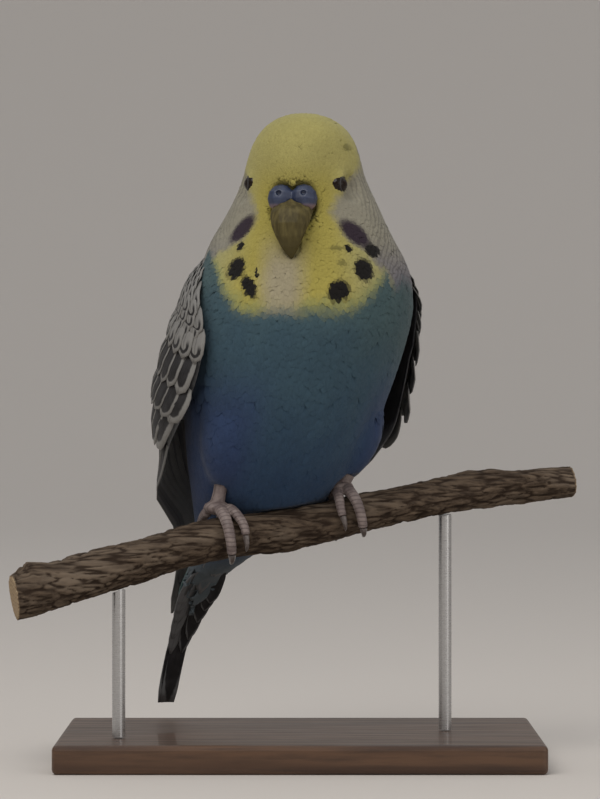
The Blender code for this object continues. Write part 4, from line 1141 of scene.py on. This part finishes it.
# %% [markdown]
# ## The tail
#
# Six pairs of feathers fan out a little. The middle pair is the longest and nearly black. The
# outer ones are grey with pale edges and step up in length. Coverts hide their roots on both faces.

# %% Tail feathers
# Levels in millimetres from the perch. For each pair: its tip, half width, and how far its root and
# its tip lie off the middle.
TAIL_ROOT = -12.0
TAIL_TIPS = (-47.2, -34.0, -30.0, -26.0, -22.5, -20.0)
TAIL_HALF = (2.2, 2.0, 2.0, 2.0, 1.9, 1.8)
TAIL_OFFSETS = ((0.5, 0.45), (1.3, 1.5), (1.9, 2.2), (2.5, 2.9), (3.0, 3.5), (3.4, 4.0))
TAIL_TOP, TAIL_STEP, TAIL_HALF_STEP, TAIL_DROOP, TAIL_CUP_MM = 0.75, 0.3, 0.45, 0.5, 0.06
TAIL_UNDER = (0.06, 0.06, 0.062)


def tail_vane(
    vanes, root, tip, stations, half, place, thick, colours, under=None, under_margin=None,
    outline=VANE_OUTLINE,
):
    """A vane of the tail. place says how far off the middle and how high it is, and its droop."""
    inner = np.empty((stations, len(VANE_ACROSS), 3))
    outer = np.empty_like(inner)
    ahead, leftward = heading(BODY_YAW)
    for i, t in enumerate(np.linspace(0, 1, stations)):
        level = root + (tip - root) * t
        row = read_table(TRUNK, level)
        tilt = math.radians(row[3])
        upper = np.array((0, 0, math.sin(tilt))) - ahead * math.cos(tilt)
        offset, height, droop = place(t)
        wide = half * read_table(outline, t)[1]
        for j, s in enumerate(VANE_ACROSS):
            away = offset + s * wide
            lift = height - droop * abs(away) / 5.0 + TAIL_CUP_MM * (1 - s * s)
            spot = bird_point(row[2], row[1], row[0]) + leftward * away + upper * lift
            inner[i, j], outer[i, j] = spot, spot + upper * thick * (1 - VANE_THINNING * t**3)
    vanes.add(inner, outer, *colours, under, under_margin=under_margin)


def make_tail(finish):
    draw = random.Random(4)
    vanes = VaneSet(12)
    for pair, tip in enumerate(TAIL_TIPS):
        for mirror in (1, -1):
            root_off, tip_off = TAIL_OFFSETS[pair]

            def place(t):
                height = TAIL_TOP - TAIL_STEP * (pair + (TAIL_HALF_STEP if mirror > 0 else 0.0))
                return mirror * (root_off + (tip_off - root_off) * t), height, TAIL_DROOP

            colours = (INK, PEWTER, 0.05) if pair == 0 else (SOOT, PEWTER, 0.5 + 0.06 * pair)
            end = tip + draw.uniform(-0.5, 0.5) * (pair > 0)
            # From below, the right half shows its grey undersides. The middle pair is black, and the
            # rest of the left half is painted near-black as shade.
            under = (TAIL_UNDER, None) if pair > 0 and mirror < 0 else (INK, 0.05)
            outline = VANE_OUTLINE if pair > 0 else BLUNT_OUTLINE
            shape = (TAIL_HALF[pair], place, 0.3)
            tail_vane(vanes, TAIL_ROOT, end, 12, *shape, colours, *under, outline)
    mesh = vanes.mesh("tail_vanes")
    return add_piece("tail_vanes", mesh, finish, ["tail_feathers"])


make_tail(flight_finish)

# %% [markdown]
# ## Tail coverts
#
# Shorter feathers hide the roots of the long ones. Above they are blue, and below a greyer blue,
# with the ones on the bird's left painted near-black as shade. Each face has its own rows, laid on its
# own swell of the root.

# %% Tail coverts
# Rows on the upper face and on the lower one: root, tip, spread and extra lift.
COVERT_ROWS = {
    1: ((-4.0, -16.0, 4.8, 0.0), (-8.0, -20.5, 4.0, 0.0), (-11.5, -23.5, 3.3, 0.0)),
    -1: ((-3.0, -12.5, 4.0, 0.5), (-6.5, -17.0, 3.2, 0.0)),
}
# How far each face swells out from the tail's middle line at each level.
COVERT_SWELL = {
    1: ((-24.0, 3.0), (-15.0, 3.0), (-6.0, 5.4), (0.0, 8.0)),
    -1: ((-18.0, 1.5), (-16.0, 1.7), (-13.0, 2.3), (-9.0, 4.1), (-6.0, 5.4), (0.0, 8.0)),
}


# The grey-blue below is held down by the same painted shade as the plumage.
COVERT_COLOURS = {
    1: (SKY, GREEN_BLUE, 0.3),
    -1: (tuple(PAINTED_SHADE * c for c in VENT), PEWTER, 0.35),
}
COVERT_HALF_MM, COVERT_THICK_MM = 1.7, 0.22


def make_tail_coverts(finish):
    draw = random.Random(9)
    vanes = VaneSet(40)
    for face, rows in COVERT_ROWS.items():
        for number, (root, tip, spread, extra) in enumerate(rows):
            shares = np.linspace(-1, 1, 6) if number % 2 == 0 else np.linspace(-0.8, 0.8, 5)
            for share in shares:
                end = tip + 3.0 * abs(share) + draw.uniform(-0.7, 0.7)

                def place(t):
                    swell = read_table(COVERT_SWELL[face], root + (end - root) * t)[1]
                    lift = (swell - 0.9 + extra + 0.7 * t) - 0.55 * abs(share)
                    return share * spread * (1.0 - 0.15 * t), face * lift - 0.1, face * 0.8

                colours = COVERT_COLOURS[face]
                # Below, on the bird's left, the coverts are painted near-black as shade.
                if face < 0 and share > 0.3:
                    colours = (UNDERTAIL_SHADE, UNDERTAIL_SHADE, 0.2)
                tail_vane(vanes, root, end, 7, COVERT_HALF_MM, place, COVERT_THICK_MM, colours)
    return add_piece("tail_coverts", vanes.mesh("tail_coverts"), finish)


make_tail_coverts(vane_finish("tail_covert_feathers", 24.0, 0.03))

# %% [markdown]
# ## Cere, bill and eyes
#
# The block gives these in flat facets. A fine voxel remesh with a little smoothing rounds the cere and
# the bill without moving their outlines, and keeps the nostrils open. The eyes are made anew below.
# The cere, a bare skin above the bill, and the eyelids share a net of fine creases.

# %% Group: fine skin creases
creases, g, given, out = new_group(
    "fine_creases", (("Size", "Float", 0.0006),), (("Height", "Float"), ("Spots", "Float"))
)
place = g.place()
finer = g.maths("DIVIDE", 1.0, given["Size"])
cells = g.add("ShaderNodeTexVoronoi", {"feature": "DISTANCE_TO_EDGE"}, Vector=place, Scale=finer)
g.feed(out["Height"], g.ramp(cells.outputs["Distance"], 0.0, 0.25))
g.feed(out["Spots"], g.cloud(place, 420.0, 4.0))
print("group:", creases.name)

# %% [markdown]
# ## The cere
#
# The cere is blue, mottled and a little waxy, and it turns pinkish where it meets the bill. Both
# changes are mixes of two colours, the first by noise and the second by height.

# %% Cere
CERE_BLUES = ((0.015, 0.024, 0.058, 1), (0.034, 0.047, 0.094, 1))
CERE_PINK, PINK_LEVELS = (0.26, 0.17, 0.17, 1), (0.1364, 0.1352)
cere_finish, s, shader = new_material(
    "blue_cere", Roughness=0.38, Specular_IOR_Level=0.5, Subsurface_Weight=0.1
)
shader["Subsurface Radius"].default_value = (0.0006, 0.0005, 0.0008)
pattern = s.group(creases, Size=0.0005)
colour = s.blend(s.ramp(pattern.outputs["Spots"], 0.35, 0.7), *CERE_BLUES)
height = s.axes(s.place())["Z"]
colour = s.blend(s.ramp(height, *PINK_LEVELS, 0.0, 0.7), colour, CERE_PINK)
s.feed(shader["Base Color"], colour)
s.feed(shader["Normal"], bumped(s, pattern.outputs["Height"], 0.15, 0.04))
cere_mesh = refined(joined_copy("cere_skin", ["cere"]), 0.16, 6)
add_piece("cere_skin", cere_mesh, cere_finish, ["cere"])

# %% [markdown]
# ## The bill
#
# A bill is horn: olive, dull, with faint streaks from its root to its tip. The streaks are noise
# drawn out along the bill, and they serve for the colour and for the relief.

# %% Bill
BILL_OLIVES, BILL_TIP = ((0.050, 0.038, 0.010, 1), (0.105, 0.083, 0.027, 1)), (0.07, 0.056, 0.018, 1)
BILL_STRETCH, TIP_LEVELS = (1.0, 1.0, 0.18), (0.1300, 0.1245)
bill_finish, s, shader = new_material("olive_bill", Roughness=0.58, Specular_IOR_Level=0.25)
place = s.place()
streaks = s.cloud(s.stretched(place, BILL_STRETCH), 900.0, 3.0)
colour = s.blend(s.ramp(streaks, 0.35, 0.7), *BILL_OLIVES)
colour = s.blend(s.ramp(s.axes(place)["Z"], *TIP_LEVELS), colour, BILL_TIP)
s.feed(shader["Base Color"], colour)
s.feed(shader["Normal"], bumped(s, streaks, 0.12, 0.05))
for name in ("bill_upper", "bill_lower"):
    mesh = refined(joined_copy(name + "_horn", [name]), 0.16, 8)
    add_piece(name + "_horn", mesh, bill_finish, [name])

# %% [markdown]
# ## The eyes
#
# An eye is a wet ball, nearly black, with the clear bulge of the cornea in front. The lid round it
# is a ring of small beads of bare skin. Both are turned from a profile round the eye's own line of
# sight, as on a lathe. The ring's radius swells once for each bead.

# %% Finishes: eye and lid
EYE_BLACKS = ((0.006, 0.004, 0.003, 1), (0.02, 0.012, 0.008, 1))
LID_GREYS = ((0.022, 0.020, 0.022, 1), (0.06, 0.056, 0.056, 1))
eye_finish, s, shader = new_material(
    "wet_eye", Roughness=0.1, Specular_IOR_Level=0.18, Coat_Weight=0.06
)
s.feed(shader["Base Color"], s.blend(s.cloud(s.place(), 500.0), *EYE_BLACKS))
lid_finish, s, shader = new_material("lid_skin", Roughness=0.7, Specular_IOR_Level=0.3)
pattern = s.group(creases, Size=0.0004)
s.feed(shader["Base Color"], s.blend(pattern.outputs["Spots"], *LID_GREYS))
s.feed(shader["Normal"], bumped(s, pattern.outputs["Height"], 0.3, 0.05))
print("finishes:", eye_finish.name, "and", lid_finish.name)

# %% Eyes
CORNEA_MM, EYE_RINGS, EYE_ROUND = 0.2, 24, 40
LID_BEADS, LID_OUT_MM, LID_RING_MM, LID_SWELL, BEAD_SWELL = 26, 1.66, 1.87, (0.2, 0.22), 0.018


def turned(middle, axis, profile, count, ripple=0.0, beads=0):
    """Points and faces of a profile of (along, radius) pairs turned round an axis."""
    side = np.cross(axis, (0, 0, 1.0))
    side /= np.linalg.norm(side)
    other = np.cross(axis, side)
    points, faces = [], []
    for i, (along, radius) in enumerate(profile):
        for k in range(count):
            t = 2 * math.pi * k / count
            swell = 1.0 + ripple * math.cos(beads * t)
            spoke = side * math.cos(t) + other * math.sin(t)
            points.append(middle + axis * along + spoke * radius * swell)
    for i in range(len(profile) - 1):
        for k in range(count):
            n = (k + 1) % count
            faces.append((i * count + k, i * count + n, (i + 1) * count + n, (i + 1) * count + k))
    return points, faces


def make_eye(side):
    middle = eyes[side] - looks[side] * EYE_DEEPER_MM
    profile = []
    for k in range(EYE_RINGS + 1):
        # The profile stops just short of the axis at both ends.
        t = math.pi * (0.004 + 0.992 * k / EYE_RINGS)
        bulge = CORNEA_MM * max(math.cos(t), 0.0) ** 6
        profile.append((-(EYE_RADIUS_MM + bulge) * math.cos(math.pi - t), EYE_RADIUS_MM * math.sin(t)))
    points, faces = turned(middle, looks[side], profile, EYE_ROUND)
    mesh = mesh_from(f"eye_{side}_ball", np.array(points) * MM, faces)
    add_piece(f"eye_{side}_ball", mesh, eye_finish, [f"eye_{side}"])
    ring = []
    for k in range(13):
        t = 2 * math.pi * k / 12
        along, across = LID_SWELL[0] * math.sin(t), LID_SWELL[1] * math.cos(t)
        ring.append((LID_OUT_MM + along, LID_RING_MM + across))
    points, faces = turned(middle, looks[side], ring, LID_BEADS * 6, BEAD_SWELL, LID_BEADS)
    lid = mesh_from(f"eyelid_{side}", np.array(points) * MM, faces)
    add_piece(f"eyelid_{side}", lid, lid_finish)


for side in SIDES:
    make_eye(side)

# %% [markdown]
# ## Feet
#
# The toes are wrapped in broad scales that cross them like tiles. They follow each toe round the
# branch, so the group measures the angle about the branch and draws a ridge at even steps.

# %% Group: scales round the branch
BRANCH_YAW = math.radians(14)
FOOT_PLACES = {"right": (-0.0192, -0.0128, 0.0556), "left": (0.0119, -0.0050, 0.0603)}
scutes, g, given, out = new_group(
    "toe_scales",
    (("Branch", "Vector", None), ("Rows", "Float", 46.0)),
    (("Height", "Float"), ("Gap", "Float")),
)
place = g.place()
away = g.add("ShaderNodeVectorMath", {"operation": "SUBTRACT"})
g.feed(away.inputs[0], place)
g.feed(away.inputs[1], given["Branch"])
turned_back = g.add(
    "ShaderNodeVectorRotate", {"rotation_type": "Z_AXIS"}, Vector=away.outputs[0], Angle=-BRANCH_YAW
)
parts = g.axes(turned_back.outputs[0])
angle = g.maths("ARCTAN2", parts["Y"], parts["Z"])
waver = g.maths("MULTIPLY", g.cloud(place, 500.0, 1.0), 1.6)
wave = g.maths("SINE", g.maths("ADD", g.maths("MULTIPLY", angle, given["Rows"]), waver))
fine = g.add("ShaderNodeTexVoronoi", {"feature": "DISTANCE_TO_EDGE"}, Vector=place, Scale=1500.0)
grain = g.maths("MULTIPLY", g.ramp(fine.outputs["Distance"], 0.0, 0.2), 0.35)
g.feed(out["Height"], g.maths("ADD", g.ramp(wave, -1.0, -0.4), grain))
g.feed(out["Gap"], g.ramp(wave, -0.35, -0.95))
print("group:", scutes.name)

# %% Feet and claws
CLAW_GREYS = ((0.05, 0.042, 0.04, 1), (0.17, 0.14, 0.13, 1))
FOOT_PINKS, SCALE_GAP = ((0.155, 0.12, 0.115, 1), (0.26, 0.21, 0.195, 1)), (0.07, 0.05, 0.046, 1)
# Voxel size, rounds of smoothing and swelling, which makes up for what the smoothing takes off.
FOOT_REFINING, CLAW_REFINING = (0.2, 4, 0.06), (0.12, 2, 0.05)
claw_finish, s, shader = new_material(
    "dark_claw", Roughness=0.3, Specular_IOR_Level=0.5, Coat_Weight=0.2
)
s.feed(shader["Base Color"], s.blend(s.cloud(s.place(), 700.0), *CLAW_GREYS))
for side in SIDES:
    foot_finish, s, shader = new_material(
        f"foot_skin_{side}", Roughness=0.55, Specular_IOR_Level=0.4
    )
    scale_rows = s.group(scutes, Branch=FOOT_PLACES[side], Rows=46.0)
    colour = s.blend(s.ramp(s.cloud(s.place(), 350.0), 0.35, 0.7), *FOOT_PINKS)
    colour = s.blend(s.maths("MULTIPLY", scale_rows.outputs["Gap"], 0.55), colour, SCALE_GAP)
    s.feed(shader["Base Color"], colour)
    s.feed(shader["Normal"], bumped(s, scale_rows.outputs["Height"], 0.5, 0.12))
    flesh = [f"tarsus_{side}"] + [f"toe_{side}_{k}" for k in (1, 2, 3, 4)]
    foot = refined(joined_copy(f"foot_{side}", flesh), *FOOT_REFINING)
    add_piece(f"foot_{side}", foot, foot_finish, flesh)
    claws = [f"claw_{side}_{k}" for k in (1, 2, 3, 4)]
    claw = refined(joined_copy(f"claws_{side}", claws), *CLAW_REFINING)
    add_piece(f"claws_{side}", claw, claw_finish, claws)

# %% [markdown]
# ## The branch
#
# Dry bark splits into long plates. The furrows are cut into the mesh itself, deepest between
# plates, and shallower where the feet grip. A noise of cells gives the plates: it is stretched along
# the branch, and the furrows are where two cells are equally near.

# %% Furrows of the branch
PLATE_LONG_MM, PLATE_WIDE_MM, TWIST, CRACK_WIDTH, BARK_DEPTH_MM = 14.0, 1.5, 0.10, 0.28, 0.62
branch_mesh = refined(joined_copy("branch", ["perch"]), 0.42, 2)
places = point_array(branch_mesh, "co") / MM
normals = point_array(branch_mesh, "normal")
branch_run = np.array((math.cos(BRANCH_YAW), math.sin(BRANCH_YAW), 0.12))
branch_run /= np.linalg.norm(branch_run)
end_face = rise(np.abs(normals @ branch_run), 0.7, 0.9) * (np.abs(places[:, 0]) > 62)
furrow, near_foot = np.empty(len(places)), np.zeros(len(places))
for i, p in enumerate(places):
    twist = p[0] * TWIST
    y, z = p[1] - p[0] * math.tan(BRANCH_YAW), p[2]
    q = Vector((p[0] / PLATE_LONG_MM + 3, y / PLATE_WIDE_MM + twist, z / PLATE_WIDE_MM))
    near, _ = noise.voronoi(q + Vector((0, 0.6, 0)) * noise.noise(q * 0.9))
    crack = 1.0 - min((near[1] - near[0]) / CRACK_WIDTH, 1.0)
    furrow[i] = 0.65 * crack + 0.35 * (0.5 + noise.noise(q * 2.3)) + 0.15 * noise.noise(q * 6.0)
for spot in FOOT_PLACES.values():
    grip = 1.0 - rise(np.abs(places[:, 0] - spot[0] / MM), 4.0, 9.0)
    near_foot = np.maximum(near_foot, grip)
depth = BARK_DEPTH_MM * np.clip(furrow, 0, 1.2) * (1.0 - 0.6 * near_foot) * (1.0 - end_face)
move_points(branch_mesh, places - normals * depth[:, None])
bark_paint = branch_mesh.color_attributes.new("bark", "FLOAT_COLOR", "POINT")
channels = np.stack((furrow, end_face, furrow, np.ones(len(places))), axis=1)
bark_paint.data.foreach_set("color", channels.ravel())
print("deepest furrow:", round(float(depth.max()), 2), "mm")

# %% [markdown]
# ## The finish of the bark
#
# The measure that cut the furrows is stored in the mesh, and darkens them here too. Fibres run
# along the branch, with paler blotches. The sawn ends show pale wood with rings.

# %% Finish: bark
FIBRE_BROWNS, BLOTCH = ((0.028, 0.018, 0.012, 1), (0.125, 0.090, 0.062, 1)), (0.20, 0.155, 0.115, 1)
FURROW_DARK, SAWN_WOOD = (0.022, 0.013, 0.008, 1), ((0.22, 0.15, 0.09, 1), (0.42, 0.32, 0.20, 1))
bark_finish, s, shader = new_material("dry_bark", Roughness=0.9, Specular_IOR_Level=0.2)
paint_in = s.add("ShaderNodeAttribute", {"attribute_name": "bark"}).outputs["Color"]
split = s.add("ShaderNodeSeparateColor", Color=paint_in).outputs
place = s.place()
along = s.stretched(place, (0.16, 1.0, 1.0), -BRANCH_YAW)
fibres = s.cloud(along, 900.0, 5.0, 0.65)
blotches = s.cloud(along, 160.0, 3.0)
colour = s.blend(s.ramp(fibres, 0.3, 0.72), *FIBRE_BROWNS)
colour = s.blend(s.ramp(blotches, 0.42, 0.72, 0.0, 0.6), colour, BLOTCH)
colour = s.blend(s.ramp(split["Red"], 0.32, 0.8, 0.0, 0.93), colour, FURROW_DARK)
ring_kind = {"wave_type": "RINGS", "rings_direction": "X"}
rings = s.add(
    "ShaderNodeTexWave", ring_kind, Vector=place, Scale=320.0, Distortion=4.0, Detail_Scale=2.0
)
sawn = s.blend(rings.outputs["Fac"], *SAWN_WOOD)
s.feed(shader["Base Color"], s.blend(split["Green"], colour, sawn))
s.feed(shader["Normal"], bumped(s, fibres, 0.5, 0.25))
add_piece("branch", branch_mesh, bark_finish, ["perch"])

# %% [markdown]
# ## The stand
#
# The base and rods are already the right shape in the block, so they only get finishes: oiled
# dark wood with its grain along the base, and steel with fine turning lines. Both start from a
# noise that is drawn out: along the grain for the wood, and round the rod for the steel.

# %% Oiled wood
WOOD_BROWNS, PORES = ((0.050, 0.024, 0.013, 1), (0.105, 0.054, 0.029, 1)), (0.028, 0.014, 0.008, 1)
oiled, s, shader = new_material(
    "oiled_wood", Roughness=0.4, Specular_IOR_Level=0.4, Coat_Weight=0.15
)
along = s.stretched(s.place(), (0.08, 1.0, 1.0))
grain = s.cloud(along, 620.0, 6.0, 0.6)
bands = s.add(
    "ShaderNodeTexWave", {"bands_direction": "Y"}, Vector=along, Scale=55.0, Distortion=9.0,
    Detail_Scale=1.4,
)
colour = s.blend(s.ramp(bands.outputs["Fac"], 0.1, 0.9), *WOOD_BROWNS)
colour = s.blend(s.ramp(grain, 0.4, 0.75, 0.0, 0.6), colour, PORES)
s.feed(shader["Base Color"], colour)
s.feed(shader["Roughness"], s.ramp(grain, 0.2, 0.8, 0.36, 0.5))
s.feed(shader["Normal"], bumped(s, grain, 0.15, 0.08))
nodes["stand_base"].data.materials[0] = oiled
print("the base is", oiled.name)

# %% Turned steel
STEEL_GREYS = ((0.42, 0.42, 0.43, 1), (0.60, 0.60, 0.60, 1))
steel, s, shader = new_material("turned_steel", Roughness=0.3, Metallic=1.0)
turning = s.cloud(s.stretched(s.place(), (0.05, 0.05, 1.0)), 4000.0, 2.0)
s.feed(shader["Base Color"], s.blend(turning, *STEEL_GREYS))
s.feed(shader["Roughness"], s.ramp(turning, 0.2, 0.8, 0.22, 0.38))
s.feed(shader["Normal"], bumped(s, turning, 0.08, 0.02))
for name in ("stand_rod_left", "stand_rod_right"):
    nodes[name].data.materials[0] = steel
print("the rods are", steel.name)

# %% [markdown]
# ## Floor
#
# The floor is a wide round dish: flat under the stand, and rising far away in one sweep, so no
# corner or edge shows from any side. It is a profile turned round the middle, in metres.

# %% Floor
FLAT_REACH, SWEEP, SWEEP_STEPS, AROUND = 1.7, 2.2, 18, 72
FLOOR_COLOUR = (0.63, 0.585, 0.54, 1)
rings = [(0.0, 0.0), (0.6, 0.0), (FLAT_REACH, 0.0)]
for k in range(1, SWEEP_STEPS + 1):
    turn = math.pi / 2 * k / SWEEP_STEPS
    rings.append((FLAT_REACH + SWEEP * math.sin(turn), SWEEP * (1.0 - math.cos(turn))))
floor_points, floor_faces = [(0.0, 0.0, 0.0)], []
for radius, height in rings[1:]:
    for k in range(AROUND):
        turn = 2 * math.pi * k / AROUND
        floor_points.append((radius * math.cos(turn), radius * math.sin(turn), height))
for k in range(AROUND):
    n = (k + 1) % AROUND
    floor_faces.append((0, 1 + k, 1 + n))
for i in range(len(rings) - 2):
    for k in range(AROUND):
        n = (k + 1) % AROUND
        low, high = 1 + i * AROUND, 1 + (i + 1) * AROUND
        floor_faces.append((low + k, high + k, high + n, low + n))
floor_mesh = bpy.data.meshes.new("studio_floor")
floor_mesh.from_pydata(floor_points, [], floor_faces)
floor_mesh.shade_smooth()
floor = bpy.data.objects.new("studio_floor", floor_mesh)
bpy.context.scene.collection.objects.link(floor)
floor_finish, s, shader = new_material("pale_floor", Roughness=0.9)
shader["Base Color"].default_value = FLOOR_COLOUR
floor.data.materials.append(floor_finish)
print("floor faces:", len(floor_faces))

# %% [markdown]
# ## Light
#
# Light is soft, as in a room with a large window: one wide panel above the front, one low fill, and
# a pale sky for the rest. Wide panels give shadows with soft edges, which suit feathers.


# %% Lights
LAMP_COLOUR, SKY_LIGHT, SKY_STRENGTH = (1.0, 0.97, 0.93), (0.95, 0.97, 1.0, 1), 0.58


def panel(name, place, aim, size, power):
    """A round lamp of a size in metres and a power in watts, turned toward a place."""
    lamp = bpy.data.lights.new(name, "AREA")
    lamp.shape, lamp.size, lamp.energy, lamp.color = "DISK", size, power, LAMP_COLOUR
    holder = bpy.data.objects.new(name, lamp)
    bpy.context.scene.collection.objects.link(holder)
    holder.location = place
    holder.rotation_mode = "QUATERNION"
    holder.rotation_quaternion = (Vector(aim) - Vector(place)).to_track_quat("-Z", "Y")


panel("key", (-0.35, -0.75, 0.95), (0, 0, 0.1), 0.9, 7.0)
panel("fill", (0.8, -0.9, 0.35), (0, 0, 0.1), 0.9, 2.2)
world = bpy.data.worlds.new("soft_sky")
world.use_nodes = True
background = world.node_tree.nodes["Background"]
background.inputs["Color"].default_value = SKY_LIGHT
background.inputs["Strength"].default_value = SKY_STRENGTH
bpy.context.scene.world = world
bpy.context.scene.view_settings.view_transform = "Standard"
print("lights:", len(bpy.data.lights), "panels and a sky")
